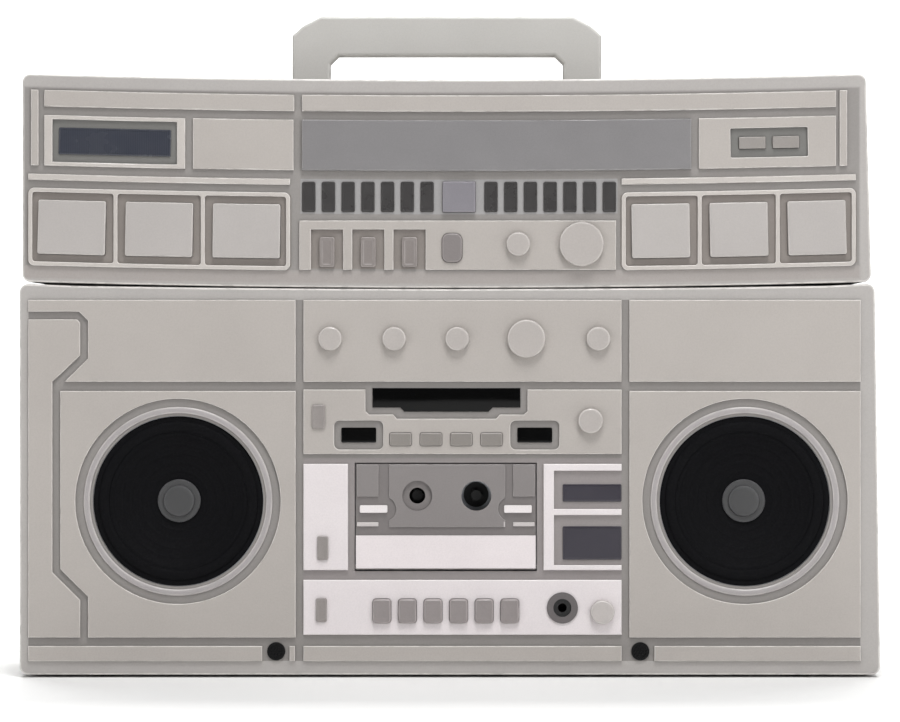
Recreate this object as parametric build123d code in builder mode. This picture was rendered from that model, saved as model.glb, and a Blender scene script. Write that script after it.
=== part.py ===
"""Portable radio-cassette recorder with two speakers, a tuner section above and a tape deck below.

Millimetres. X runs across the cabinet, Y from front to back, Z up. The origin is on the table,
under the middle of the cabinet. "Height" in the upper section means the height at its middle:
the section is bowed, and its ends stand a little above its middle.
"""
from build123d import *
from collections import namedtuple
from math import atan2, degrees
import os

os.makedirs("parts", exist_ok=True)

# ---------------------------------------------------------------- driving dimensions
# Cabinet
width = 620.0
depth = 158.0               # from the knob faces to the back
foot_height = 2.0
lower_top = 280.0
upper_height = 150.0
wall = 3.0
cabinet_corner = 6.0
cabinet_edge = 2.0          # rounding of the outer front edge
front_shell_depth = 46.0
side_taper = 4.0            # the right-hand sides lean in by this much over each section
upper_inset_left = 2.0
upper_inset_right = 6.5
bow = 4.5                   # rise of the upper section's ends above its middle
lower_bow = 2.2
seam_gap = 0.6              # between the two sections, at the middle
lip_length = 34.0           # the lower section's end lips, which close the gap again
lip_rise = 1.6

# Raised panels
panel_rise = 2.5
panel_edge = 0.8
groove = 5.5
left_border = 6.5
right_border = 14.5
lower_top_border = 8.0
column_left = -105.5
column_width = 229.0

# Controls
knob_height = 5.5
knob_edge = 1.0
shaft_radius = 3.0
shaft_fit = 0.06            # running clearance on the radius
control_fit = 0.3           # clearance round keys and behind their flanges
flange_lip = 1.5
flange_thickness = 2.0
key_edge = 0.8
switch_stem = 3.0
switch_stem_length = 5.0
stem_flange = 2.0
switch_corner = 1.5

# ---------------------------------------------------------------- derived levels
face = -depth / 2 + panel_rise + knob_height
back = depth / 2
split = face + front_shell_depth
inner_face = face + wall
column_right = column_left + column_width
half = width / 2
upper_bottom = lower_top + seam_gap
upper_top = upper_bottom + upper_height


def rise(x):
    """Height that the bow adds at a place across the upper section."""
    return bow * (x / half) ** 2


def lean(x):
    """Slope of the bow there, in degrees."""
    return degrees(atan2(2 * bow * x, half ** 2))


def front(height=0.0):
    """Plane parallel to the front, that far out from the base plate. Local axes are X and Z."""
    return Plane.XZ.offset(height - face)


def block(plane, x, z, across, tall, corner=0.0, turn=0.0):
    """Rectangle about a centre, with rounded corners where a radius is given."""
    with BuildSketch(plane) as outline:
        with Locations(Location((x, z, 0), (0, 0, turn))):
            if corner > 0:
                RectangleRounded(across, tall, corner)
            else:
                Rectangle(across, tall)
    return outline.sketch


def span(plane, left, right, low, high, corner=0.0):
    """Rectangle between two sides and two heights."""
    return block(plane, (left + right) / 2, (low + high) / 2, right - left, high - low, corner)


def disc(plane, x, z, radius, bore=0.0):
    """Circle, or a ring where a bore is given."""
    with BuildSketch(plane) as outline:
        with Locations((x, z)):
            Circle(radius)
            if bore > 0:
                Circle(bore, mode=Mode.SUBTRACT)
    return outline.sketch


def shape(plane, points):
    """Outline with straight sides."""
    with BuildSketch(plane) as outline:
        with BuildLine():
            Polyline(*points, close=True)
        make_face()
    return outline.sketch


def band(plane, left, right, low, high, corner=0.0):
    """Strip of the upper section between two heights. Its long sides follow the bow."""
    middle = (left + right) / 2
    with BuildSketch(plane) as outline:
        with BuildLine():
            under = ThreePointArc(*[(x, low + rise(x)) for x in (left, middle, right)])
            over = ThreePointArc(*[(x, high + rise(x)) for x in (left, middle, right)])
            Line(under @ 0, over @ 0)
            Line(under @ 1, over @ 1)
        make_face()
        if corner > 0:
            fillet(outline.vertices(), corner)
    return outline.sketch


def lower_outline(plane, inset=0.0):
    """Front outline of the lower section, drawn in by an inset."""
    low = foot_height + inset
    left, right = inset - half, half - inset
    shoulder = lower_top + lower_bow + lip_rise - inset
    lip = lip_length + cabinet_corner
    with BuildSketch(plane) as outline:
        with BuildLine():
            crown = ThreePointArc(
                (left + lip, lower_top + lower_bow - inset),
                (0, lower_top - inset),
                (right - lip, lower_top + lower_bow - inset),
            )
            Polyline(
                crown @ 0, (left, shoulder), (left, low),
                (right, low), (right - side_taper, shoulder), crown @ 1,
            )
        make_face()
        corners = outline.vertices().group_by(Axis.X)
        fillet(corners[0] + corners[-1] + corners[-2], cabinet_corner - inset)
    return outline.sketch


def upper_outline(plane, inset=0.0):
    """Front outline of the upper section, drawn in by an inset."""
    left = upper_inset_left - half + inset
    right = half - upper_inset_right - inset
    low, high = upper_bottom + inset, upper_top - inset
    with BuildSketch(plane) as outline:
        with BuildLine():
            under = ThreePointArc((left, low + rise(left)), (0, low), (right, low + rise(right)))
            over = ThreePointArc(
                (left, high + rise(left)), (0, high), (right - side_taper, high + rise(right))
            )
            Line(under @ 0, over @ 0)
            Line(under @ 1, over @ 1)
        make_face()
        fillet(outline.vertices(), cabinet_corner - inset)
    return outline.sketch


def panel_edges(part):
    """Front edges of the raised panels."""
    level = face - panel_rise
    return part.faces().filter_by_position(Axis.Y, level - 0.1, level + 0.1).edges()


def front_edges(part):
    """Edges of the faces that stand out furthest to the front."""
    return part.faces().group_by(Axis.Y)[0].edges()


def save(part, name):
    """Label a finished piece and write it."""
    part.label = name
    export_step(part, f"parts/{name}.step")


# ---------------------------------------------------------------- layout of the upper section
Control = namedtuple("Control", "x z across tall corner proud turn")

key_frame_low = upper_bottom + 12.0
key_frame_height = 56.0
key_frame_line = 3.0
key_frame_corner = 4.5
key_cell_corner = 2.0
line_bar_height = 4.5
top_bar_height = 12.0
top_bar_drop = 11.5
row_gap = 6.0
line_bar_low = key_frame_low + key_frame_height + groove
display_low = line_bar_low + line_bar_height + row_gap
top_bar_high = upper_top - top_bar_drop
display_high = top_bar_high - top_bar_height - row_gap

upper_left = upper_inset_left - half
upper_right = half - upper_inset_right
left_keys = (upper_left + 4.5, column_left - 9.5)
right_keys = (column_right, upper_right - 11.5)
end_bar_width = 5.5
left_end_bar = upper_left + 6.5
right_end_bar = upper_right - 20.5 - end_bar_width / 2
left_display = (left_end_bar + end_bar_width + 4.0, left_end_bar + end_bar_width + 105.5)
blank_panel = (left_display[1] + groove, column_left - 7.0)
tuner_span = (column_left - 1.0, column_left + 279.0)
switch_panel = (tuner_span[1] + groove, right_end_bar - 2.5)
display_middle = (display_low + display_high) / 2
lcd_frame_line = 6.0
lcd_size = (81.0, 19.5)

preset_gap = 14.2
preset_height = 39.0
preset_z = key_frame_low + 28.0

strip_low = key_frame_low + 1.0
strip_high = strip_low + 35.5
strip_span = (column_left - 3.0, column_right - 4.0)
strip_middle = (strip_low + strip_high) / 2
meter_low = strip_high + row_gap
meter_height = 22.0
meter_bar = 9.8
meter_bar_corner, meter_bar_edge = 1.5, 0.4
meter_pitch = 14.2
meter_count = 7
meter_centre = column_left + 112.0
meter_inner = 23.0          # from the centre to the first bar on each side
meter_depth = 1.2
band_key_width = 23.5

lever_x = [column_left + 17.0 + 29.7 * i for i in range(3)]
lever_slot = (23.0, 29.0)
lever_size = (10.8, 21.5)
lever_travel = 5.0
lever_proud = 3.4

display_button_x = [switch_panel[0] + 38.5, switch_panel[0] + 62.7]
display_window = (switch_panel[0] + 50.6, 55.5, 21.0)

# ---------------------------------------------------------------- layout of the lower section
knob_row_high = lower_top - lower_top_border
knob_row_low = knob_row_high - 59.0
speaker_high = knob_row_low - 6.5
speaker_low = 29.0
bar_low, bar_high = 12.0, 23.0
left_column = (left_border - half, column_left - groove)
right_column = (column_right + groove, half - right_border)
strip_top = 70.5
bay_low, bay_high = 77.5, 154.0
deck_low = bay_high + 7.0
deck_high = speaker_high + 1.0

trim_step = 20.0            # width that the left-hand trim loses beside the speaker
trim_width = 37.5
trim_side = left_column[0] + trim_width
trim_waist = trim_side - trim_step
speaker_left = trim_waist + groove

hole_radius = 61.5
ring_inner, ring_outer = 63.4, 68.0
ring_rise = 1.8
speaker_recess = 73.8
speaker_z = speaker_low + 98.0
speaker_x = [(speaker_left + left_column[1]) / 2, sum(right_column) / 2]

hub_spacing = 42.5
deck_centre = column_left + 103.2
hub_z = bay_high - 23.0
hub_x = [deck_centre - hub_spacing / 2, deck_centre + hub_spacing / 2]
door_span = (deck_centre - 65.5, deck_centre + 64.0)
bay_margin = 0.8
door_thickness = 5.0
door_pin = 1.5
door_pin_reach = bay_margin + 2.0

tape_key_x = [column_left + 56.5 + 18.4 * i for i in range(6)]
tape_key_z = (speaker_low + 2.0 + strip_top) / 2 - 2.5
counter_button_x = [column_left + 70.0 + 21.8 * i for i in range(4)]
counter_button_z = deck_low + 10.7
jack_x, jack_z = column_left + 186.3, tape_key_z + 2.2
jack_barrel = 8.0
microphone_x = [column_left - 19.6, column_right + 13.5]
microphone_z = bar_low + 7.0
microphone_radius = 6.6
microphone_margin = 10.0

push_keys = {}
for side, (start, end) in enumerate((left_keys, right_keys)):
    cell = (end - start) / 3
    for place in range(3):
        x = start + cell * (place + 0.5)
        push_keys[f"preset_key_{3 * side + place + 1}"] = Control(
            x, preset_z + rise(x), cell - preset_gap, preset_height, 1.5, 4.0, lean(x)
        )
push_keys["band_key"] = Control(
    meter_centre, meter_low + meter_height / 2, band_key_width, meter_height, 1.0, 3.6, 0.0
)
push_keys["mode_button"] = Control(
    column_left + 107.0, strip_middle - 2.0, 14.4, 21.0, 5.0, 4.6, 0.0
)
for place, x in enumerate(display_button_x):
    push_keys[f"display_button_{place + 1}"] = Control(
        x, display_middle + rise(x), 19.2, 8.6, 0.8, 2.2, lean(x)
    )
for place, x in enumerate(counter_button_x):
    push_keys[f"counter_button_{place + 1}"] = Control(
        x, counter_button_z, 15.8, 9.4, 1.5, 4.0, 0.0
    )
tape_key_names = ["record_key", "play_key", "rewind_key", "forward_key", "stop_key", "pause_key"]
for name, x in zip(tape_key_names, tape_key_x):
    push_keys[name] = Control(x, tape_key_z, 13.2, 17.4, 2.5, 6.2, 0.0)

# Slide switches: centre, button size, level it slides on, how far it stands out, travel down and up
Switch = namedtuple("Switch", "x z across tall level proud down up")
switches = {
    f"tone_lever_{place + 1}": Switch(
        x, strip_low + 2.0 + lever_size[1] / 2, *lever_size, 0.0, lever_proud, 0.0, lever_travel
    )
    for place, x in enumerate(lever_x)
}
counter_switch_width = 9.4
deck_switch_width = 8.0
deck_switch_height = 17.3
deck_switch_proud = 4.5
deck_switch_travel = 3.0
deck_switch_shape = (
    deck_switch_height, panel_rise, deck_switch_proud, deck_switch_travel, deck_switch_travel
)
switches["counter_switch"] = Switch(
    column_left + 11.0, deck_high - 19.5, counter_switch_width, *deck_switch_shape
)
switches["tape_switch"] = Switch(
    column_left + 14.0, bay_low + 16.0, deck_switch_width, *deck_switch_shape
)
switches["noise_switch"] = Switch(
    column_left + 13.0, tape_key_z + 0.7, deck_switch_width, *deck_switch_shape
)

Knob = namedtuple("Knob", "x z radius")
small_knob, level_knob, volume_knob_radius, tuning_knob_radius = 8.6, 9.0, 13.7, 16.0
knob_row_z = (knob_row_low + knob_row_high) / 2 + 1.5
knobs = {
    "fine_tuning_knob": Knob(column_left + 154.5, strip_middle + 0.7, small_knob),
    "tuning_knob": Knob(column_left + 200.0, strip_middle + 0.7, tuning_knob_radius),
    "microphone_knob": Knob(column_left + 19.3, knob_row_z, small_knob),
    "bass_knob": Knob(column_left + 65.3, knob_row_z, small_knob),
    "treble_knob": Knob(column_left + 110.7, knob_row_z, small_knob),
    "volume_knob": Knob(column_left + 160.4, knob_row_z, volume_knob_radius),
    "balance_knob": Knob(column_left + 212.0, knob_row_z, small_knob),
    "record_level_knob": Knob(column_left + 206.5, deck_high - 22.5, level_knob),
    "headphone_knob": Knob(column_left + 215.0, tape_key_z - 0.7, small_knob),
}

# Outlines on the deck
trim_gap = 4.8              # between the bay and the trims beside it
window_rise = 1.2
window_corner = 1.0
moat = 5.0                  # recess round each deck window
step_window = (deck_centre - 53.5, deck_centre + 53.0, deck_high - 13.0, deck_high + 1.0)
step_drop = 3.0
step_inset = 20.0
small_windows = [(deck_centre - 63.4, 25.2), (deck_centre + 63.3, 25.2)]
small_window_z = deck_low + 13.7
small_window_height = 10.8

meter_frame = (door_span[1] + bay_margin + trim_gap, column_right)
meter_post = 7.5
meter_rows = [(bay_low + 3.6, 36.0), (bay_low + 44.0, 27.5)]
meter_glass = [(bay_low + 7.5, 24.0), (bay_low + 49.2, 12.6)]
meter_glass_left = meter_frame[0] + 13.8

screw_places = [
    (side * (half - 18.0), z) for side in (-1, 1) for z in (22.0, lower_top - 20.0)
] + [(side * (half - 27.0), upper_top - 20.0) for side in (-1, 1)]
boss_radius = 6.0
screw_radius = 1.9
screw_fit = 0.15
screw_length = 26.0
screw_head_radius = 3.8
screw_head_height = 3.0
screw_seat = split + 10.0

foot_radius = 11.0
foot_plug = 4.0
foot_fit = 0.1
foot_y = [split - 23.0, back - 26.0]
foot_x = half - 60.0


def cut_control_holes(low, high, level):
    """Openings for every key, switch and knob between two heights, from a level to the inside."""
    for key in push_keys.values():
        if low < key.z < high:
            across, tall = key.across + 2 * control_fit, key.tall + 2 * control_fit
            corner = key.corner + control_fit
            extrude(block(front(level), key.x, key.z, across, tall, corner, key.turn),
                    amount=-level - wall, mode=Mode.SUBTRACT)
    for switch in switches.values():
        if low < switch.z < high:
            travel = switch.down + switch.up
            slot_z = switch.z + (switch.up - switch.down) / 2
            extrude(block(front(level), switch.x, slot_z, switch_stem + 2 * control_fit,
                          switch_stem_length + travel + 2 * control_fit),
                    amount=-level - wall, mode=Mode.SUBTRACT)
    for knob in knobs.values():
        if low < knob.z < high:
            extrude(disc(front(level), knob.x, knob.z, shaft_radius + shaft_fit),
                    amount=-level - wall, mode=Mode.SUBTRACT)


def add_bosses(low, high):
    """Screw bosses between two heights, from the front wall to the split, with their holes."""
    for x, z in screw_places:
        if low < z < high:
            extrude(disc(front(-wall), x, z, boss_radius), amount=-(split - inner_face))
            extrude(disc(Plane.XZ.offset(-split), x, z, screw_radius + screw_fit),
                    amount=screw_length - 8.0, mode=Mode.SUBTRACT)


# ---------------------------------------------------------------- upper front cabinet
board_y = inner_face + 18.0
board_half = half - 70.0
board_low, board_high = key_frame_low + 10.0, top_bar_high - 2.0
board_post = 4.0
board_posts = [
    (side * (board_half - 8.0), z)
    for side in (-1, 1) for z in (line_bar_low + line_bar_height / 2, top_bar_high - top_bar_height + 3.0)
]

with BuildPart() as upper_front_cabinet:
    extrude(upper_outline(front()), amount=-front_shell_depth)
    fillet(upper_front_cabinet.faces().sort_by(Axis.Y)[0].edges(), cabinet_edge)
    extrude(upper_outline(front(-wall), wall), amount=-front_shell_depth, mode=Mode.SUBTRACT)
    # Long bars and end bars
    top_bar_low = top_bar_high - top_bar_height
    extrude(band(front(), left_display[0], column_left - 6.5, top_bar_low, top_bar_high), amount=panel_rise)
    extrude(band(front(), tuner_span[0], switch_panel[1], top_bar_low, top_bar_high), amount=panel_rise)
    extrude(band(front(), *left_keys, line_bar_low, line_bar_low + line_bar_height), amount=panel_rise)
    extrude(band(front(), *right_keys, line_bar_low, line_bar_low + line_bar_height), amount=panel_rise)
    extrude(band(front(), left_end_bar, left_end_bar + end_bar_width, display_low, top_bar_high),
            amount=panel_rise)
    extrude(band(front(), right_end_bar, right_end_bar + end_bar_width, display_low, top_bar_high),
            amount=panel_rise)
    # Display frame, blank panel and switch panel
    extrude(band(front(), *left_display, display_low, display_high), amount=panel_rise)
    extrude(band(front(), left_display[0] + lcd_frame_line, left_display[1] - lcd_frame_line,
                 display_low + lcd_frame_line / 2, display_high - lcd_frame_line / 2),
            amount=panel_rise, mode=Mode.SUBTRACT)
    extrude(band(front(), *blank_panel, display_low, display_high), amount=panel_rise)
    extrude(band(front(), *switch_panel, display_low, display_high), amount=panel_rise)
    window_x, window_across, window_tall = display_window
    extrude(block(front(), window_x, display_middle + rise(window_x), window_across, window_tall,
                  1.0, lean(window_x)), amount=panel_rise, mode=Mode.SUBTRACT)
    # Key frames, each with three cells
    for start, end in (left_keys, right_keys):
        frame_high = key_frame_low + key_frame_height
        extrude(band(front(), start, end, key_frame_low, frame_high, key_frame_corner), amount=panel_rise)
        cell = (end - start) / 3
        for place in range(3):
            cell_left = start + cell * place + key_frame_line / 2 * (2 if place == 0 else 1)
            cell_right = start + cell * (place + 1) - key_frame_line / 2 * (2 if place == 2 else 1)
            extrude(band(front(), cell_left, cell_right, key_frame_low + key_frame_line,
                         frame_high - key_frame_line, key_cell_corner),
                    amount=panel_rise, mode=Mode.SUBTRACT)
    # Strip with the three lever slots
    extrude(span(front(), *strip_span, strip_low, strip_high), amount=panel_rise)
    for x in lever_x:
        extrude(span(front(), x - lever_slot[0] / 2, x + lever_slot[0] / 2,
                     strip_low, strip_low + lever_slot[1]), amount=panel_rise, mode=Mode.SUBTRACT)
    fillet(panel_edges(upper_front_cabinet), panel_edge)
    cut_control_holes(upper_bottom, upper_top, panel_rise + 1.0)
    add_bosses(upper_bottom, upper_top)
    for x, z in board_posts:
        extrude(disc(front(-wall), x, z, board_post), amount=-(board_y - inner_face))
save(upper_front_cabinet.part, "upper_front_cabinet")

# ---------------------------------------------------------------- lower front cabinet
trim_low, trim_high = speaker_low, knob_row_high - 14.0
trim_foot = trim_low + 27.0
trim_knee = trim_foot + trim_step
trim_hip = speaker_high + 6.5
trim_shoulder = trim_hip + trim_step - 1.0
trim_left = left_column[0]
chase = groove * 0.42       # how far a diagonal groove shifts its outer corner

lower_shapes = {
    "corner_trim": [
        (trim_left, trim_high), (trim_side - 2.5, trim_high), (trim_side, trim_high - 2.5),
        (trim_side, trim_shoulder), (trim_waist, trim_hip), (trim_waist, trim_knee),
        (trim_side, trim_foot), (trim_side, trim_low), (trim_left, trim_low),
    ],
    "left_top_panel": [
        (trim_left, knob_row_high), (left_column[1], knob_row_high), (left_column[1], knob_row_low),
        (trim_waist + groove + 3.0, knob_row_low), (trim_side + groove, trim_shoulder - chase),
        (trim_side + groove, trim_high - 1.0), (trim_side - 1.0, trim_high + groove),
        (trim_left, trim_high + groove),
    ],
    "left_speaker_panel": [
        (speaker_left, speaker_high), (left_column[1], speaker_high), (left_column[1], speaker_low),
        (trim_side + groove, speaker_low), (trim_side + groove, trim_foot + chase),
        (speaker_left, trim_knee + chase),
    ],
}
deck_window_points = [
    (step_window[0] - moat, deck_high + groove), (step_window[0] - moat, step_window[2] - moat / 2),
    (step_window[0] - moat / 2, step_window[2] - moat),
    (step_window[0] + step_inset - moat, step_window[2] - moat),
    (step_window[0] + step_inset - moat / 2, step_window[2] - step_drop - moat),
    (step_window[1] - step_inset + moat / 2, step_window[2] - step_drop - moat),
    (step_window[1] - step_inset + moat, step_window[2] - moat),
    (step_window[1] + moat / 2, step_window[2] - moat),
    (step_window[1] + moat, step_window[2] - moat / 2), (step_window[1] + moat, deck_high + groove),
]

with BuildPart() as lower_front_cabinet:
    extrude(lower_outline(front()), amount=-front_shell_depth)
    fillet(lower_front_cabinet.faces().sort_by(Axis.Y)[0].edges(), cabinet_edge)
    extrude(lower_outline(front(-wall), wall), amount=-front_shell_depth, mode=Mode.SUBTRACT)
    # Panels round the speakers and knobs
    for points in lower_shapes.values():
        extrude(shape(front(), points), amount=panel_rise)
    extrude(span(front(), column_left, column_right, knob_row_low, knob_row_high), amount=panel_rise)
    extrude(span(front(), *right_column, knob_row_low, knob_row_high), amount=panel_rise)
    extrude(span(front(), *right_column, speaker_low, speaker_high), amount=panel_rise)
    for x in speaker_x:
        extrude(disc(front(), x, speaker_z, speaker_recess), amount=panel_rise, mode=Mode.SUBTRACT)
    # Deck panel, cut away round its windows
    extrude(span(front(), column_left, column_right, deck_low, deck_high), amount=panel_rise)
    extrude(shape(front(), deck_window_points), amount=panel_rise, mode=Mode.SUBTRACT)
    for x, across in small_windows:
        extrude(block(front(), x, small_window_z, across + 2 * moat, small_window_height + 2 * moat, 4.0),
                amount=panel_rise, mode=Mode.SUBTRACT)
    # Bars along the bottom, broken by the microphones
    for start, end in (
        (left_column[0], microphone_x[0] - microphone_margin), (left_column[1] - 4.5, left_column[1] - 0.5),
        (column_left, column_right), (microphone_x[1] + microphone_margin, right_column[1]),
    ):
        extrude(span(front(), start, end, bar_low, bar_high), amount=panel_rise)
    fillet(panel_edges(lower_front_cabinet), panel_edge)
    # Openings
    for x in speaker_x:
        extrude(disc(front(), x, speaker_z, hole_radius), amount=-wall, mode=Mode.SUBTRACT)
    for x in microphone_x:
        extrude(disc(front(panel_rise), x, microphone_z, microphone_radius), amount=-wall - panel_rise,
                mode=Mode.SUBTRACT)
    extrude(span(front(), door_span[0] - bay_margin, door_span[1] + bay_margin,
                 bay_low - bay_margin, bay_high + bay_margin), amount=-wall, mode=Mode.SUBTRACT)
    with BuildSketch(Plane.YZ.offset(door_span[0] - door_pin_reach)) as hinge_line:
        with Locations((face + door_thickness / 2, bay_low + door_thickness / 2)):
            Circle(door_pin + shaft_fit)
    extrude(hinge_line.sketch, amount=door_span[1] - door_span[0] + 2 * door_pin_reach, mode=Mode.SUBTRACT)
    cut_control_holes(0, upper_bottom, panel_rise + 1.0)
    extrude(disc(front(), jack_x, jack_z, jack_barrel + foot_fit), amount=-wall, mode=Mode.SUBTRACT)
    for side in (-1, 1):
        with BuildSketch(Plane.XY):
            with Locations((side * foot_x, foot_y[0])):
                Circle(foot_plug + foot_fit)
        extrude(amount=foot_height + wall, mode=Mode.SUBTRACT)
    add_bosses(0, upper_bottom)
save(lower_front_cabinet.part, "lower_front_cabinet")

# ---------------------------------------------------------------- handle
handle_width = 227.0
handle_top = upper_top + 50.5
handle_thickness = 18.0
handle_leg = 28.0
handle_bar = 29.0
handle_edge = 2.5
handle_x = deck_centre
handle_side_gap = 1.3
handle_chamfer = (8.0, 7.0, 13.0, 7.0)
well_depth = 21.0
well_front = split + wall
pin_radius = 4.0
handle_y = well_front + 1.0 + handle_thickness / 2
well_floor = upper_top - well_depth
pivot_z = well_floor + 1.2 + handle_thickness / 2
handle_reach = handle_top - pivot_z
well_back = handle_y + handle_reach + 4.0
well_left = handle_x - handle_width / 2 - handle_side_gap
well_right = handle_x + handle_width / 2 + handle_side_gap

with BuildPart() as handle:
    handle_plane = Plane.XZ.offset(-(handle_y - handle_thickness / 2))
    side = handle_width / 2
    step_x, step_z, slope_x, slope_z = handle_chamfer
    half_outline = [
        (side, pivot_z), (side, handle_top - step_z - slope_z), (side - step_x, handle_top - slope_z),
        (side - step_x - slope_x, handle_top),
    ]
    right_side = [(handle_x + x, z) for x, z in half_outline]
    left_side = [(handle_x - x, z) for x, z in reversed(half_outline)]
    extrude(shape(handle_plane, right_side + left_side), amount=-handle_thickness)
    opening = span(handle_plane, handle_x - side + handle_leg, handle_x + side - handle_leg,
                   pivot_z - 40.0, handle_top - handle_bar)
    extrude(opening, amount=-handle_thickness, mode=Mode.SUBTRACT)
    chamfer(handle.edges().filter_by(Axis.Y).group_by(Axis.Z)[1], 6.0)
    long_edges = handle.faces().filter_by(Axis.Y).edges()
    fillet(long_edges.filter_by_position(Axis.Z, pivot_z + 1.0, handle_top + 1.0), handle_edge)
    for sign in (-1, 1):
        with BuildSketch(Plane.YZ.offset(handle_x + sign * side)) as round_end:
            with Locations((handle_y, pivot_z)):
                Circle(handle_thickness / 2)
        extrude(round_end.sketch, amount=-sign * handle_leg)
    for sign in (-1, 1):
        with BuildSketch(Plane.YZ.offset(handle_x + sign * side)) as pin:
            with Locations((handle_y, pivot_z)):
                Circle(pin_radius)
        extrude(pin.sketch, amount=sign * (handle_side_gap + wall))
save(handle.part, "handle")

# ---------------------------------------------------------------- rear cabinet
battery_span = (-126.0, 126.0, 18.0, 92.0)
battery_depth = 36.0
tray_wall = 2.0
cover_fit = 0.5
cover_pin = 1.5
dc_x, dc_z = half - 80.0, 40.0
dc_radius = 5.0

with BuildPart() as rear_cabinet:
    back_plane = Plane.XZ.offset(-back)
    seam = (upper_left + wall, upper_right - side_taper - wall, lower_top - 8.0, upper_bottom + 8.0)
    extrude(lower_outline(back_plane), amount=back - split)
    extrude(upper_outline(back_plane), amount=back - split)
    extrude(span(back_plane, *seam), amount=back - split)
    fillet(rear_cabinet.faces().sort_by(Axis.Y)[-1].edges(), cabinet_edge)
    inner_back = Plane.XZ.offset(wall - back)
    hollows = (lower_outline(inner_back, wall), upper_outline(inner_back, wall), span(inner_back, *seam))
    for inner in hollows:
        extrude(inner, amount=back - split, mode=Mode.SUBTRACT)
    # Well that the handle folds into
    well_plane = Plane.XZ.offset(-well_back)
    extrude(span(Plane.XZ.offset(-well_back - wall), well_left - wall, well_right + wall,
                 well_floor - wall, upper_top - 1.0), amount=well_back + wall - split)
    extrude(span(well_plane, well_left, well_right, well_floor, upper_top + bow),
            amount=well_back - well_front, mode=Mode.SUBTRACT)
    with BuildSketch(Plane.YZ.offset(well_left - wall)) as pivot_hole:
        with Locations((handle_y, pivot_z)):
            Circle(pin_radius + shaft_fit)
    extrude(pivot_hole.sketch, amount=well_right - well_left + 2 * wall, mode=Mode.SUBTRACT)
    # Battery compartment, open to the back
    left, right, low, high = battery_span
    extrude(span(inner_back, left - tray_wall, right + tray_wall, low - tray_wall, high + tray_wall),
            amount=battery_depth + tray_wall)
    extrude(span(back_plane, left, right, low, high), amount=wall + battery_depth, mode=Mode.SUBTRACT)
    with BuildSketch(Plane.YZ.offset(left - tray_wall)) as cover_pins:
        with Locations((back - wall / 2, low + cover_fit + wall / 2)):
            Circle(cover_pin / 2 + shaft_fit)
    extrude(cover_pins.sketch, amount=right - left + 2 * tray_wall, mode=Mode.SUBTRACT)
    # Screw towers, from the back to the split
    for x, z in screw_places:
        extrude(disc(back_plane, x, z, boss_radius), amount=back - split)
        extrude(disc(back_plane, x, z, screw_head_radius + screw_fit), amount=back - screw_seat,
                mode=Mode.SUBTRACT)
        extrude(disc(back_plane, x, z, screw_radius + screw_fit), amount=back - split, mode=Mode.SUBTRACT)
    # Power socket and feet
    extrude(disc(back_plane, dc_x, dc_z, dc_radius + foot_fit), amount=wall, mode=Mode.SUBTRACT)
    for side in (-1, 1):
        with BuildSketch(Plane.XY) as plug:
            with Locations((side * foot_x, foot_y[1])):
                Circle(foot_plug + foot_fit)
        extrude(plug.sketch, amount=foot_height + wall, mode=Mode.SUBTRACT)
save(rear_cabinet.part, "rear_cabinet")

with BuildPart() as battery_cover:
    left, right, low, high = battery_span
    cover_axis = (back - wall / 2, low + cover_fit + wall / 2)
    extrude(span(back_plane, left + cover_fit, right - cover_fit, low + cover_fit, high - cover_fit),
            amount=wall)
    fillet(battery_cover.edges().filter_by(Axis.X).group_by(Axis.Z)[0], wall / 2 - 0.01)
    for sign, edge in ((-1, left + cover_fit), (1, right - cover_fit)):
        with BuildSketch(Plane.YZ.offset(edge)) as stub:
            with Locations(cover_axis):
                Circle(cover_pin / 2)
        extrude(stub.sketch, amount=sign * (cover_fit + tray_wall - 0.5))
save(battery_cover.part, "battery_cover")

# ---------------------------------------------------------------- front trims and windows
with BuildPart() as tuner_scale:
    extrude(band(front(), *tuner_span, display_low, display_high), amount=panel_rise + 1.5)
    fillet(tuner_scale.faces().sort_by(Axis.Y)[0].edges(), key_edge)
save(tuner_scale.part, "tuner_scale")

with BuildPart() as window_lenses:
    lcd_x = (left_display[0] + left_display[1]) / 2
    extrude(block(front(), lcd_x, display_middle + rise(lcd_x), *lcd_size, window_corner, lean(lcd_x)),
            amount=window_rise)
    left, right, low, high = step_window
    extrude(shape(front(), [
        (left, high), (left, low), (left + step_inset, low),
        (left + step_inset + step_drop, low - step_drop), (right - step_inset - step_drop, low - step_drop),
        (right - step_inset, low), (right, low), (right, high),
    ]), amount=window_rise)
    for x, across in small_windows:
        extrude(block(front(), x, small_window_z, across, small_window_height, window_corner),
                amount=window_rise)
    for low, tall in meter_glass:
        extrude(span(front(), meter_glass_left, column_right, low, low + tall), amount=window_rise)
save(window_lenses.part, "window_lenses")

with BuildPart() as level_bars:
    for side in (-1, 1):
        for place in range(meter_count):
            x = meter_centre + side * (meter_inner + meter_pitch * place)
            bar_z = meter_low + meter_height / 2
            outline = block(front(), x, bar_z, meter_bar, meter_height, meter_bar_corner)
            extrude(outline, amount=meter_depth)
    fillet(front_edges(level_bars), meter_bar_edge)
save(level_bars.part, "level_bars")

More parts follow.
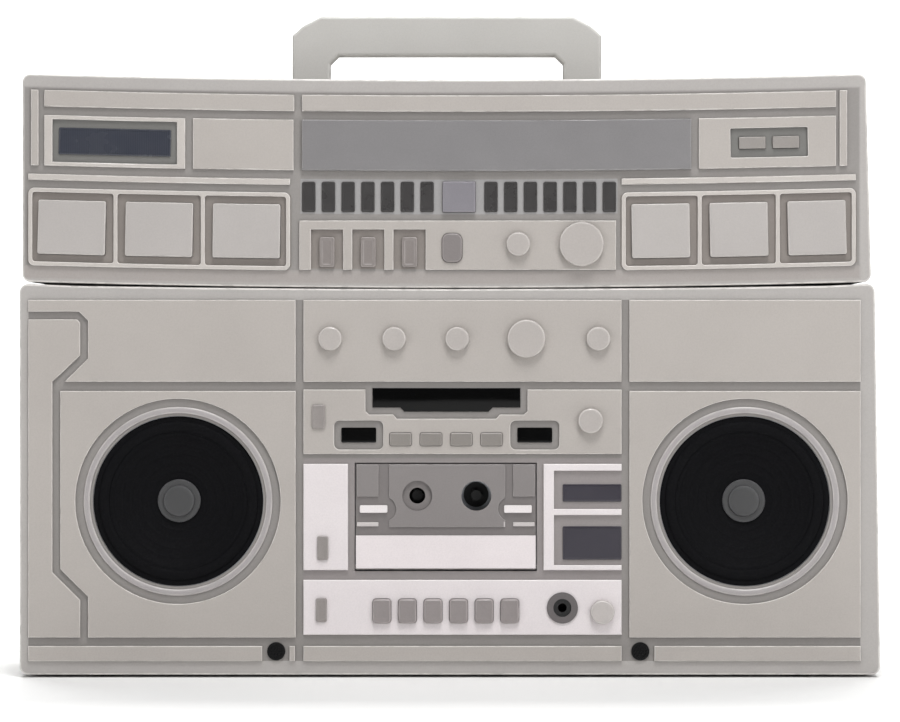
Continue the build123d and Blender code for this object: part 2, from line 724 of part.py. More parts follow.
with BuildPart() as deck_trim:
    extrude(span(front(), column_left, door_span[0] - bay_margin - trim_gap, bay_low, bay_high),
            amount=panel_rise)
    extrude(span(front(), *meter_frame, bay_low, bay_high), amount=panel_rise)
    for low, tall in meter_rows:
        extrude(span(front(), meter_frame[0] + meter_post, column_right + 1.0, low, low + tall),
                amount=panel_rise, mode=Mode.SUBTRACT)
    extrude(span(front(), column_left, column_right, speaker_low + 2.0, strip_top), amount=panel_rise)
    fillet(front_edges(deck_trim), panel_edge)
    cut_control_holes(0, bay_high, panel_rise + 1.0)
    extrude(disc(front(), jack_x, jack_z, jack_barrel + foot_fit), amount=panel_rise, mode=Mode.SUBTRACT)
save(deck_trim.part, "deck_trim")

# ---------------------------------------------------------------- controls
for name, key in push_keys.items():
    with BuildPart() as push_key:
        extrude(block(front(key.proud), key.x, key.z, key.across, key.tall, key.corner, key.turn),
                amount=-(key.proud + wall + control_fit))
        fillet(push_key.faces().sort_by(Axis.Y)[0].edges(), key_edge)
        extrude(block(front(-wall - control_fit), key.x, key.z, key.across + 2 * flange_lip,
                      key.tall + 2 * flange_lip, key.corner + flange_lip, key.turn),
                amount=-flange_thickness)
    save(push_key.part, name)

for name, switch in switches.items():
    with BuildPart() as switch_button:
        extrude(block(front(switch.proud), switch.x, switch.z, switch.across, switch.tall, switch_corner),
                amount=-(switch.proud - switch.level - control_fit))
        fillet(switch_button.faces().sort_by(Axis.Y)[0].edges(), key_edge)
        stem = block(front(switch.level + control_fit), switch.x, switch.z, switch_stem, switch_stem_length)
        extrude(stem, amount=-(switch.level + wall + 2 * control_fit))
        extrude(block(front(-wall - control_fit), switch.x, switch.z, switch_stem + 2 * stem_flange,
                      switch_stem_length + 2 * stem_flange), amount=-flange_thickness)
    save(switch_button.part, name)

for name, knob in knobs.items():
    with BuildPart() as turning_knob:
        extrude(disc(front(panel_rise + knob_height), knob.x, knob.z, knob.radius),
                amount=-(knob_height - control_fit))
        fillet(turning_knob.faces().sort_by(Axis.Y)[0].edges(), knob_edge)
        extrude(disc(front(panel_rise + control_fit), knob.x, knob.z, shaft_radius),
                amount=-(panel_rise + wall + 2 * control_fit))
        extrude(disc(front(-wall - control_fit), knob.x, knob.z, shaft_radius + stem_flange),
                amount=-flange_thickness)
    save(turning_knob.part, name)

# ---------------------------------------------------------------- speakers
flange_outer, flange_inner = 72.0, 58.0
cone_lip = 61.0
cone_wall = 1.2
cone_depth = 9.0
roll_start, roll_width, roll_rise = 3.5, 8.0, 1.6
cap_radius, cap_inner = 15.5, 11.5
cap_step, cap_rise, cap_edge = 2.0, 2.5, 1.8
cone_foot = cap_radius + 1.0
coil_radius, coil_wall, coil_depth = 13.0, 1.0, 12.0
basket_depth = 28.0
magnet_radius, magnet_depth = 40.0, 18.0
cone_seat = inner_face - cone_wall
cone_floor = cone_seat + cone_depth

with BuildPart() as speaker_rings:
    for x in speaker_x:
        extrude(disc(front(), x, speaker_z, ring_outer, ring_inner), amount=ring_rise)
    fillet(front_edges(speaker_rings), ring_rise / 2)
save(speaker_rings.part, "speaker_rings")

with BuildPart() as speaker_cones:
    for x in speaker_x:
        with BuildSketch(Plane(origin=(x, 0, speaker_z), x_dir=(1, 0, 0), z_dir=(0, 0, 1))) as profile:
            with BuildLine():
                lip = Line((cone_lip, cone_seat + cone_wall), (cone_lip, cone_seat))
                flat = Line(lip @ 1, (cone_lip - roll_start, cone_seat))
                crest = (cone_lip - roll_start - roll_width / 2, cone_seat - roll_rise)
                roll = ThreePointArc(flat @ 1, crest, (cone_lip - roll_start - roll_width, cone_seat))
                slope = Line(roll @ 1, (cone_foot, cone_floor))
                floor = Line(slope @ 1, (0, cone_floor))
                centre = Line(floor @ 1, (0, cone_floor + cone_wall))
                under = Line(centre @ 1, (cone_foot, cone_floor + cone_wall))
                back_slope = Line(under @ 1, (cone_lip - roll_start - roll_width, cone_seat + cone_wall))
                Line(back_slope @ 1, lip @ 0)
            make_face()
        revolve(profile.sketch, axis=Axis((x, 0, speaker_z), (0, 1, 0)))
        coil_plane = Plane.XZ.offset(-(cone_floor + cone_wall))
        extrude(disc(coil_plane, x, speaker_z, coil_radius, coil_radius - coil_wall), amount=-coil_depth)
save(speaker_cones.part, "speaker_cones")

with BuildPart() as speaker_caps:
    for x in speaker_x:
        extrude(disc(Plane.XZ.offset(-cone_floor), x, speaker_z, cap_radius), amount=cap_step)
        extrude(disc(Plane.XZ.offset(cap_step - cone_floor), x, speaker_z, cap_inner), amount=cap_rise)
    fillet(front_edges(speaker_caps), cap_edge)
save(speaker_caps.part, "speaker_caps")

with BuildPart() as speaker_frames:
    basket_back = inner_face + basket_depth
    for x in speaker_x:
        extrude(disc(front(-wall), x, speaker_z, flange_outer, flange_inner), amount=-2.0)
        outer = disc(front(-wall), x, speaker_z, flange_inner + 2.0)
        inner = disc(Plane.XZ.offset(-basket_back), x, speaker_z, magnet_radius - 2.0)
        loft([outer.face(), inner.face()])
        hollow_outer = disc(front(-wall), x, speaker_z, flange_inner)
        hollow_inner = disc(Plane.XZ.offset(2.0 - basket_back), x, speaker_z, magnet_radius - 4.0)
        loft([hollow_outer.face(), hollow_inner.face()], mode=Mode.SUBTRACT)
        for turn in range(6):
            with BuildSketch(Plane.XZ.offset(-inner_face - 4.0)) as basket_window:
                with Locations(Location((x, speaker_z, 0), (0, 0, 60 * turn))):
                    with Locations((44.0, 0)):
                        RectangleRounded(26.0, 22.0, 5.0)
            extrude(basket_window.sketch, amount=-(basket_depth - 7.0), mode=Mode.SUBTRACT)
        extrude(disc(Plane.XZ.offset(-basket_back), x, speaker_z, magnet_radius), amount=-magnet_depth)
save(speaker_frames.part, "speaker_frames")

# ---------------------------------------------------------------- tape deck
chassis_y = face + 24.0
chassis_thickness = 2.0
chassis_span = (door_span[0] - 14.0, door_span[1] + 14.0, bay_low - 4.0, bay_high - 2.0)
chassis_post = 4.0
chassis_rear = chassis_y + chassis_thickness
spindle_shaft = 2.0
spindle_hub = 4.8
capstan_x, capstan_z = deck_centre + 19.0, bay_low + 26.5
capstan_radius = 1.2
flywheel_radius, flywheel_depth = 22.0, 6.0
motor_radius, motor_depth = 27.0, 9.0
motor_post = 1.8
motor_front = chassis_rear + 8.0
rear_collar = 3.5

with BuildPart() as deck_chassis:
    left, right, low, high = chassis_span
    extrude(span(Plane.XZ.offset(-chassis_y), left, right, low, high, 3.0), amount=-chassis_thickness)
    for x in (left + 5.0, right - 5.0):
        for z in (low + 9.0, high - 5.0):
            extrude(disc(Plane.XZ.offset(-chassis_y), x, z, chassis_post), amount=chassis_y - inner_face)
    for turn in (30, 150, 270):
        with BuildSketch(Plane.XZ.offset(-chassis_rear)) as post:
            with Locations((capstan_x, capstan_z)):
                with PolarLocations(flywheel_radius + 3.0, 1, turn):
                    Circle(motor_post)
        extrude(post.sketch, amount=-(motor_front - chassis_rear))
    for x in hub_x:
        extrude(disc(Plane.XZ.offset(-chassis_y), x, hub_z, spindle_shaft + shaft_fit),
                amount=-chassis_thickness, mode=Mode.SUBTRACT)
    extrude(disc(Plane.XZ.offset(-chassis_y), capstan_x, capstan_z, capstan_radius + shaft_fit),
            amount=-chassis_thickness, mode=Mode.SUBTRACT)
save(deck_chassis.part, "deck_chassis")

for name, x in zip(("supply_spindle", "takeup_spindle"), hub_x):
    with BuildPart() as spindle:
        table = Plane.XZ.offset(-(chassis_y - control_fit))
        extrude(disc(table, x, hub_z, 9.0), amount=2.0)
        extrude(disc(table, x, hub_z, spindle_hub - 1.0), amount=13.0)
        with BuildSketch(Plane.XZ.offset(-(chassis_y - control_fit - 2.0))) as fins:
            with Locations((x, hub_z)):
                with PolarLocations(spindle_hub - 1.2, 3):
                    Rectangle(2.6, 1.2)
        extrude(fins.sketch, amount=9.0)
        extrude(disc(table, x, hub_z, spindle_shaft), amount=-(chassis_thickness + 2 * control_fit))
        extrude(disc(Plane.XZ.offset(-(chassis_rear + control_fit)), x, hub_z, rear_collar), amount=-1.5)
    save(spindle.part, name)

with BuildPart() as capstan_flywheel:
    wheel = Plane.XZ.offset(-(chassis_rear + control_fit))
    extrude(disc(wheel, capstan_x, capstan_z, flywheel_radius), amount=-flywheel_depth)
    chamfer(capstan_flywheel.edges().filter_by(GeomType.CIRCLE), 0.8)
    extrude(disc(wheel, capstan_x, capstan_z, capstan_radius), amount=chassis_rear - face - 8.0)
    extrude(disc(Plane.XZ.offset(-motor_front), capstan_x, capstan_z, capstan_radius), amount=4.0)
    extrude(disc(Plane.XZ.offset(-motor_front), capstan_x, capstan_z, capstan_radius), amount=-4.0)
save(capstan_flywheel.part, "capstan_flywheel")

with BuildPart() as deck_motor:
    motor = Plane.XZ.offset(-motor_front)
    extrude(disc(motor, capstan_x, capstan_z, motor_radius), amount=-motor_depth)
    fillet(deck_motor.edges().filter_by(GeomType.CIRCLE).sort_by(Axis.Y)[-1], 1.5)
    extrude(disc(motor, capstan_x, capstan_z, capstan_radius + shaft_fit), amount=-5.0, mode=Mode.SUBTRACT)
save(deck_motor.part, "deck_motor")

bridge_travel = 6.0
bridge_span = (deck_centre - 37.0, deck_centre + 35.0)
bridge_low = bay_low + 2.5
bridge_thickness = 2.0
roller_radius = 5.5
with BuildPart() as head_bridge:
    bridge_back = chassis_y - control_fit
    extrude(span(Plane.XZ.offset(-bridge_back), *bridge_span, bridge_low, bridge_low + 9.0, 1.5),
            amount=bridge_thickness)
    on_bridge = Plane.XZ.offset(bridge_thickness - bridge_back)
    for x, across in ((deck_centre, 15.0), (deck_centre - 22.0, 9.0)):
        extrude(span(on_bridge, x - across / 2, x + across / 2, bridge_low + 1.0, bridge_low + 14.0, 2.0),
                amount=12.0)
    roller_z = capstan_z - capstan_radius - bridge_travel - 1.0 - roller_radius
    extrude(disc(on_bridge, capstan_x, roller_z, roller_radius), amount=10.0)
save(head_bridge.part, "head_bridge")

# Cassette door: base plate with a holder behind, the lower strip and the cassette relief in front
strip_foot, strip_height = 1.2, 25.0
plate_rise = 0.6 * panel_rise
relief_edge = 0.4
plate_span = (deck_centre - 41.5, deck_centre + 42.0, bay_low + 31.0, bay_high - 0.5)
catch_margin = 0.8
catch_width, catch_height = 15.5, 23.0
clip_z = bay_low + 44.0
clip_start, clip_end, clip_height, clip_corner = 2.0, 22.0, 5.6, 1.0
ledge_drop, ledge_height = 9.5, 3.0
notch_radius, notch_inset = 9.0, 4.0
hub_ring, hub_hole, hub_recess = 10.8, 5.8, 1.0
holder_inset, holder_wall, holder_depth = 6.0, 2.5, 14.0
holder_low, holder_high = bay_low + 8.0, bay_high - 6.0

with BuildPart() as cassette_door:
    extrude(span(front(), *door_span, bay_low, bay_high), amount=-door_thickness)
    fillet(cassette_door.edges().filter_by(Axis.X).group_by(Axis.Z)[0], door_thickness / 2 - 0.01)
    extrude(span(front(), *door_span, bay_low + strip_foot, bay_low + strip_height), amount=panel_rise)
    extrude(span(front(), *plate_span), amount=plate_rise)
    for sign, edge, outside in ((1, plate_span[0], door_span[0]), (-1, plate_span[1], door_span[1])):
        extrude(disc(front(), edge - sign * notch_inset, clip_z, notch_radius),
                amount=plate_rise, mode=Mode.SUBTRACT)
        start = outside + sign * catch_margin
        sides = sorted((start, start + sign * catch_width))
        extrude(span(front(), *sides, plate_span[3] - catch_height, plate_span[3]), amount=plate_rise)
        extrude(span(front(), *sides, clip_z - ledge_drop - ledge_height, clip_z - ledge_drop, relief_edge),
                amount=plate_rise)
        clip = sorted((start + sign * clip_start, start + sign * clip_end))
        extrude(span(front(), *clip, clip_z - clip_height / 2, clip_z + clip_height / 2, clip_corner),
                amount=panel_rise)
    lowest, highest = face - plate_rise + 0.1, face - panel_rise - 0.1
    relief = cassette_door.faces().filter_by_position(Axis.Y, highest, lowest)
    fillet(relief.edges(), relief_edge)
    extrude(disc(front(plate_rise), hub_x[0], hub_z, hub_ring), amount=-plate_rise - hub_recess,
            mode=Mode.SUBTRACT)
    for x, radius in zip(hub_x, (hub_hole, hub_ring)):
        extrude(disc(front(plate_rise), x, hub_z, radius), amount=-plate_rise - door_thickness,
                mode=Mode.SUBTRACT)
    for start in (door_span[0] + holder_inset, door_span[1] - holder_inset - holder_wall):
        extrude(span(front(-door_thickness), start, start + holder_wall, holder_low, holder_high),
                amount=-holder_depth)
    for sign, edge in ((-1, door_span[0]), (1, door_span[1])):
        with BuildSketch(Plane.YZ.offset(edge)) as stub:
            with Locations((face + door_thickness / 2, bay_low + door_thickness / 2)):
                Circle(door_pin)
        extrude(stub.sketch, amount=sign * (door_pin_reach - control_fit))
save(cassette_door.part, "cassette_door")

# ---------------------------------------------------------------- electronics and small parts
board_thickness = 1.6
board_parts = [
    (-0.78, 0.35, 34.0, 24.0, 16.0), (-0.52, 0.70, 22.0, 10.0, 4.0), (-0.45, 0.30, 40.0, 12.0, 5.0),
    (-0.20, 0.62, 26.0, 26.0, 12.0), (0.02, 0.30, 48.0, 14.0, 5.0), (0.18, 0.72, 18.0, 18.0, 10.0),
    (0.42, 0.40, 30.0, 22.0, 14.0), (0.62, 0.70, 22.0, 10.0, 4.0), (0.82, 0.42, 26.0, 30.0, 18.0),
]
with BuildPart() as circuit_board:
    board = Plane.XZ.offset(-board_y)
    board_tall = board_high - board_low
    extrude(span(board, -board_half, board_half, board_low, board_high, 2.0), amount=-board_thickness)
    rear_of_board = Plane.XZ.offset(-board_y - board_thickness)
    for along, up, across, tall, deep in board_parts:
        extrude(block(rear_of_board, along * board_half, board_low + up * board_tall, across, tall, 1.0),
                amount=-deep)
save(circuit_board.part, "circuit_board")

with BuildPart() as jack_sockets:
    jack_bore, jack_length = 3.2, 16.0
    extrude(disc(front(panel_rise + 1.2), jack_x, jack_z, 11.2, 6.5), amount=-1.2)
    extrude(disc(front(panel_rise), jack_x, jack_z, jack_barrel, jack_bore), amount=-panel_rise - wall)
    extrude(disc(front(-wall), jack_x, jack_z, 9.5, jack_bore), amount=-(jack_length - panel_rise - wall))
    dc_bore, dc_length = 2.8, 12.0
    extrude(disc(back_plane, dc_x, dc_z, dc_radius, dc_bore), amount=dc_length)
    extrude(disc(inner_back, dc_x, dc_z, dc_radius + 3.0, dc_bore), amount=dc_length - wall)
save(jack_sockets.part, "jack_sockets")

with BuildPart() as microphones:
    for x in microphone_x:
        extrude(disc(front(1.5), x, microphone_z, microphone_radius - foot_fit), amount=-12.0)
    fillet(front_edges(microphones), panel_edge)
save(microphones.part, "microphones")

with BuildPart() as rubber_feet:
    for x in (-foot_x, foot_x):
        for y in foot_y:
            with BuildSketch(Plane.XY) as sole:
                with Locations((x, y)):
                    Circle(foot_radius)
            extrude(sole.sketch, amount=foot_height)
            with BuildSketch(Plane.XY.offset(foot_height)) as plug:
                with Locations((x, y)):
                    Circle(foot_plug)
            extrude(plug.sketch, amount=wall + 1.0)
    fillet(rubber_feet.faces().group_by(Axis.Z)[0].edges(), 0.6)
save(rubber_feet.part, "rubber_feet")

with BuildPart() as cabinet_screws:
    for x, z in screw_places:
        seat = Plane.XZ.offset(-screw_seat)
        extrude(disc(seat, x, z, screw_head_radius), amount=-screw_head_height)
        extrude(disc(seat, x, z, screw_radius), amount=screw_length)
save(cabinet_screws.part, "cabinet_screws")
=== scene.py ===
"""Studio scene of a portable radio-cassette recorder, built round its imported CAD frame.

Every place and overall size is read from the frame, in metres. X runs across the cabinet, Y from front to
back and Z up. Moulded shells keep their CAD shape and get a full finish; speakers, windows, keys, knobs,
level bars, microphones, screws and the battery cover are modelled here and stand in for their CAD nodes.
"""
import logging
import math
from dataclasses import dataclass, field
from enum import Enum
from functools import partial
from typing import Any, Callable, Sequence

import bmesh
import bpy
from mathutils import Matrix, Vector

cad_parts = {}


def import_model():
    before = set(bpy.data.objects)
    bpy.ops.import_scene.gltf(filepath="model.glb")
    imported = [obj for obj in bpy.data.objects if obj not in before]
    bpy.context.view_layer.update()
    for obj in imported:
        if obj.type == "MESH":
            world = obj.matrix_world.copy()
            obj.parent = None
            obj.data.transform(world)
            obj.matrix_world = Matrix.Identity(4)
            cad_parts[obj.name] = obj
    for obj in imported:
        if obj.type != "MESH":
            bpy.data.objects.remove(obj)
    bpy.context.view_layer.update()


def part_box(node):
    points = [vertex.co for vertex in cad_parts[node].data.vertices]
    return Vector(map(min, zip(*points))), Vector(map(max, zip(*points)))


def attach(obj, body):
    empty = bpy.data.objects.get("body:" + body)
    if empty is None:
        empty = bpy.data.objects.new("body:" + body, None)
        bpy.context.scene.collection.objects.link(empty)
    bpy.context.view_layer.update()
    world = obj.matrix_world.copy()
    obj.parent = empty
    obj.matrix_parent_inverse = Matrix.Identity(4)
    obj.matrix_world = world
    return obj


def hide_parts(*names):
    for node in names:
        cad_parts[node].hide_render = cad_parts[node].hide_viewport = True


log = logging.getLogger("recorder")
MM = 0.001
Piece = bpy.types.Object
Finish = bpy.types.Material
Socket = bpy.types.NodeSocket
Add = Callable[..., Socket]
Box = tuple[Vector, Vector]
Profile = Sequence[tuple[float, float]]


class Slot(Enum):
    """Material slots of the record, passed along with new pieces but not read by this script."""

    CABINET = "cabinet_plastic"
    KEY = "key_grey"
    LILAC = "lilac_grey"
    LENS = "dark_lens"
    BAR = "dark_bar"
    CONE = "black_cone"
    BLACK = "black_plastic"
    GREY = "grey_plastic"
    STEEL = "steel"


# ------------------------------------------------------------------ nodes and colours
def srgb(code: str) -> tuple[float, ...]:
    """Turn an sRGB hex colour into linear RGBA.

    Args:
        code: six hex digits.

    Returns:
        The linear colour with an alpha of one.
    """
    values = [int(code[i:i + 2], 16) / 255 for i in (0, 2, 4)]
    linear = [v / 12.92 if v <= 0.04045 else ((v + 0.055) / 1.055) ** 2.4 for v in values]
    return (*linear, 1.0)


def per_mm(size: float) -> float:
    """Scale of a pattern that repeats once in that many millimetres."""
    return 1 / (size * MM)


def wave_per_mm(size: float) -> float:
    """Scale of a wave texture, whose bands are ten units of angle apart, for a pitch in millimetres."""
    return 0.314 / (size * MM)


@dataclass(frozen=True)
class NodeKind:
    """A type of node with the output that it is read from and the settings that it always has."""

    identifier: str
    out: int | str = 0
    settings: tuple[tuple[str, Any], ...] = ()


NOISE = NodeKind("ShaderNodeTexNoise", "Fac")
SPREAD = NodeKind("ShaderNodeMapRange", 0, (("interpolation_type", "SMOOTHSTEP"),))
MIX = NodeKind("ShaderNodeMix", 2, (("data_type", "RGBA"),))
PRODUCT = NodeKind("ShaderNodeMath", 0, (("operation", "MULTIPLY"), ("use_clamp", True)))


def add_node(tree: bpy.types.NodeTree, kind: str | NodeKind, feeds: dict[Any, Any] | None = None,
             out: int | str = 0, **settings: Any) -> Socket | None:
    """Add one node with its settings and links.

    Args:
        tree: node tree that gets it.
        kind: Blender's identifier of the node type, or one of the kinds above.
        feeds: for each input, by name or number, a value or the output socket that feeds it.
        out: the output to give back.
        **settings: properties of the node itself.

    Returns:
        That output of the new node, where it has any.
    """
    if isinstance(kind, NodeKind):
        kind, out, settings = kind.identifier, kind.out, {**dict(kind.settings), **settings}
    node = tree.nodes.new(kind)
    for name, value in settings.items():
        setattr(node, name, value)
    for key, value in (feeds or {}).items():
        if isinstance(value, bpy.types.NodeSocket):
            tree.links.new(value, node.inputs[key])
        else:
            node.inputs[key].default_value = value
    return node.outputs[out] if len(node.outputs) else None


def open_material(name: str) -> tuple[Finish, Add, Socket]:
    """Start a material that reads Object coordinates.

    Args:
        name: real material and process.

    Returns:
        The material, the function that adds a node to it, and the coordinates.
    """
    material = bpy.data.materials.new(name)
    material.use_nodes = True
    material.node_tree.nodes.clear()
    add = partial(add_node, material.node_tree)
    return material, add, add("ShaderNodeTexCoord", out="Object")


def end_material(add: Add, feeds: dict[str, Any]) -> None:
    """Close a material with its shader and output."""
    shader = add("ShaderNodeBsdfPrincipled", feeds)
    add("ShaderNodeOutputMaterial", {"Surface": shader})


def round_mask(add: Add) -> Socket:
    """Find the rounded edges between front and side faces.

    Args:
        add: adds a node to the material.

    Returns:
        1 on the middle of an edge's round and 0 on flat faces.
    """
    normal = add("ShaderNodeNewGeometry", out="Normal")
    own = add("ShaderNodeVectorTransform", {0: normal}, vector_type="NORMAL", convert_from="WORLD",
              convert_to="OBJECT")
    depth = add("ShaderNodeSeparateXYZ", {0: own}, "Y")
    square = add("ShaderNodeMath", {0: depth, 1: depth}, operation="MULTIPLY")
    rest = add("ShaderNodeMath", {0: 1.0, 1: square}, operation="SUBTRACT")
    both = add("ShaderNodeMath", {0: square, 1: rest}, operation="MULTIPLY")
    return add(SPREAD, {0: both, 1: 0.02, 2: 0.25})


@dataclass(frozen=True)
class Zone:
    """A box of the surface with another tone: a second moulded colour, painted shade or a painted highlight,
    such as the painted shade on the floor of a groove.
    """

    low: tuple[float, float, float]
    high: tuple[float, float, float]
    tone: str
    soft_mm: float = 0.3        # width of the edge it fades out over

    def mask(self, add: Add, point: Socket) -> Socket:
        """Find the points in the zone.

        Args:
            add: adds a node to the material.
            point: coordinates.

        Returns:
            1 inside and 0 outside, with a soft edge.
        """
        low, high = Vector(self.low), Vector(self.high)
        away = add("ShaderNodeVectorMath", {0: point, 1: (low + high) / 2}, operation="SUBTRACT")
        size = add("ShaderNodeVectorMath", {0: away}, operation="ABSOLUTE")
        over = add("ShaderNodeVectorMath", {0: size, 1: (high - low) / 2}, operation="SUBTRACT")
        axes = add("ShaderNodeSeparateXYZ", {0: over}).node.outputs
        side = add("ShaderNodeMath", {0: axes[0], 1: axes[1]}, operation="MAXIMUM")
        worst = add("ShaderNodeMath", {0: side, 1: axes[2]}, operation="MAXIMUM")
        half = self.soft_mm * MM / 2
        return add(SPREAD, {0: worst, 1: -half, 2: half, 3: 1.0, 4: 0.0})


@dataclass(frozen=True)
class MouldedPlastic:
    """Injection-moulded ABS with a spark-eroded satin grain.

    The tool's grain scatters light softly. Rounded edges are paler and smoother, partly from handling and
    partly as a painted highlight, and the resin has faint flow marks some centimetres long.
    """

    name: str
    tone: str
    # tone of the rounded edges: partly real wear from handling, partly a painted highlight
    rim_wear_and_highlight_tone: str = "e2deda"
    roughness: float = 0.52
    grain_mm: float = 1.1       # real grain is 0.2 mm; drawn coarser, so that it shows
    grain_depth_mm: float = 0.05
    flow_mm: float = 55.0
    # how strongly the rounded edges take that worn and painted-highlight tone
    rim_wear_and_highlight_share: float = 0.85
    gloss: float = 0.5          # share of the usual surface reflection, less where the grain is deep
    zones: tuple[Zone, ...] = ()
    bow: float = 0.0            # rise of a bowed piece at 1 m from its middle

    def level_point(self, add: Add, point: Socket) -> Socket:
        """Take the bow off the coordinates.

        Args:
            add: adds a node to the material.
            point: coordinates.

        Returns:
            Coordinates in which the bowed lines are straight.
        """
        axes = add("ShaderNodeSeparateXYZ", {0: point}).node.outputs
        square = add("ShaderNodeMath", {0: axes[0], 1: axes[0]}, operation="MULTIPLY")
        lift = add("ShaderNodeMath", {0: square, 1: self.bow}, operation="MULTIPLY")
        level = add("ShaderNodeMath", {0: axes[2], 1: lift}, operation="SUBTRACT")
        return add("ShaderNodeCombineXYZ", {0: axes[0], 1: axes[1], 2: level})

    def build(self) -> Finish:
        """Lay the nodes.

        Returns:
            The material.
        """
        material, add, point = open_material(self.name)
        place = self.level_point(add, point) if self.bow else point
        colour: Any = srgb(self.tone)
        for zone in self.zones:
            colour = add(MIX, {0: zone.mask(add, place), 6: colour, 7: srgb(zone.tone)})
        flow = add(NOISE, {0: point, 2: per_mm(self.flow_mm), 3: 4.0, 4: 0.55})
        streaks = add(SPREAD, {0: flow, 1: 0.35, 2: 0.7, 3: 0.0, 4: 0.05})
        colour = add(MIX, {0: streaks, 6: colour, 7: srgb("8d8584")}, blend_type="MULTIPLY")
        grain = add(NOISE, {0: point, 2: per_mm(self.grain_mm), 3: 2.0, 4: 0.55})
        speckle = add(SPREAD, {0: grain, 1: 0.3, 2: 0.75, 3: 0.0, 4: 0.07})
        colour = add(MIX, {0: speckle, 6: colour, 7: srgb("6f6a67")}, blend_type="MULTIPLY")
        patchy = add(NOISE, {0: point, 2: per_mm(9.0), 3: 3.0, 4: 0.55})
        patches = add(SPREAD, {0: patchy, 1: 0.3, 2: 0.6, 3: 0.4, 4: 1.0})
        # paler, smoother rounded edges: partly real wear, partly a painted highlight along the rims
        rim_wear_and_highlight = add(PRODUCT, {0: add(PRODUCT, {0: round_mask(add), 1: patches}), 1: self.rim_wear_and_highlight_share})
        colour = add(MIX, {0: rim_wear_and_highlight, 6: colour, 7: srgb(self.rim_wear_and_highlight_tone)})
        haze = add(NOISE, {0: point, 2: per_mm(14.0), 3: 5.0, 4: 0.55})
        rough = add(SPREAD, {0: haze, 1: 0.3, 2: 0.7, 3: self.roughness - 0.05, 4: self.roughness + 0.07})
        rough = add("ShaderNodeMath", {0: rough, 1: add(PRODUCT, {0: rim_wear_and_highlight, 1: 0.3})}, operation="SUBTRACT")
        bump = add("ShaderNodeBump", {"Strength": 0.5, "Distance": self.grain_depth_mm * MM, "Height": grain})
        end_material(add, {"Base Color": colour, "Roughness": rough, "Normal": bump, "IOR": 1.53,
                           "Specular IOR Level": self.gloss})
        return material


@dataclass(frozen=True)
class TintedAcrylic:
    """Smooth cast acrylic window, tinted through, with faint smears from wiping, very fine hairlines and a
    painted highlight on its rounded rim.
    """

    name: str
    tone: str
    # tone of the rim's painted highlight, also mixed faintly into the smears
    edge: str
    roughness: float = 0.2
    gloss: float = 0.5
    line_mm: float = 0.0        # pitch of the dark lines behind a display window, none at 0

    def build(self) -> Finish:
        """Lay the nodes.

        Returns:
            The material.
        """
        material, add, point = open_material(self.name)
        wiped = add(NOISE, {0: point, 2: per_mm(24.0), 3: 3.0, 4: 0.55})
        smear = add(SPREAD, {0: wiped, 1: 0.35, 2: 0.7})
        faint = add("ShaderNodeMath", {0: smear, 1: 0.03}, operation="MULTIPLY")
        colour = add(MIX, {0: faint, 6: srgb(self.tone), 7: srgb(self.edge)})
        if self.line_mm:
            lines = add("ShaderNodeTexWave", {0: point, 1: wave_per_mm(self.line_mm), 2: 0.0}, "Fac",
                        wave_type="BANDS", bands_direction="X")
            dark = add(SPREAD, {0: lines, 1: 0.6, 2: 0.95, 3: 0.0, 4: 0.35})
            colour = add(MIX, {0: dark, 6: colour, 7: srgb("1f2026")})
        # painted highlight: the rounded rim is mixed towards the paler edge tone
        rim = add("ShaderNodeMath", {0: round_mask(add), 1: 0.6}, operation="MULTIPLY")
        colour = add(MIX, {0: rim, 6: colour, 7: srgb(self.edge)})
        rough = add(SPREAD, {0: smear, 3: self.roughness, 4: self.roughness + 0.05})
        drawn = add("ShaderNodeMapping", {0: point, "Scale": (1.0, 1.0, 14.0)})
        hairs = add(NOISE, {0: drawn, 2: per_mm(6.0), 3: 3.0, 4: 0.55})
        bump = add("ShaderNodeBump", {"Strength": 0.1, "Distance": 0.01 * MM, "Height": hairs})
        end_material(add, {"Base Color": colour, "Roughness": rough, "Normal": bump, "IOR": 1.49,
                           "Specular IOR Level": self.gloss})
        return material


@dataclass(frozen=True)
class PressedPaper:
    """Speaker paper pressed from black pulp: dull, with short fibres and rings left by the felting screen."""

    name: str
    tone: str
    centre: tuple[float, float, float]
    fibre_mm: float = 1.4
    ring_mm: float = 2.2

    def build(self) -> Finish:
        """Lay the nodes.

        Returns:
            The material.
        """
        material, add, point = open_material(self.name)
        own = add("ShaderNodeMapping", {0: point, "Location": [-c for c in self.centre]})
        rings = add("ShaderNodeTexWave", {0: own, 1: wave_per_mm(self.ring_mm), 2: 0.6, 3: 2.0}, "Fac",
                    wave_type="RINGS", rings_direction="Y")
        fibre = add(NOISE, {0: point, 2: per_mm(self.fibre_mm), 3: 6.0, 4: 0.55})
        flecks = add(NOISE, {0: point, 2: per_mm(0.9), 3: 1.0, 4: 0.55})
        strands = add(SPREAD, {0: fibre, 1: 0.4, 2: 0.75, 3: 0.0, 4: 0.5})
        colour = add(MIX, {0: strands, 6: srgb(self.tone), 7: srgb("0b0b0c")})
        specks = add(SPREAD, {0: flecks, 1: 0.70, 2: 0.78, 3: 0.0, 4: 0.5})
        colour = add(MIX, {0: specks, 6: colour, 7: srgb("151517")})
        height = add("ShaderNodeMix", {0: 0.5, 2: rings, 3: fibre})
        bump = add("ShaderNodeBump", {"Strength": 0.4, "Distance": 0.08 * MM, "Height": height})
        rough = add(SPREAD, {0: fibre, 1: 0.3, 2: 0.7, 3: 0.62, 4: 0.85})
        end_material(add, {"Base Color": colour, "Roughness": rough, "Normal": bump,
                           "Specular IOR Level": 0.12})
        return material


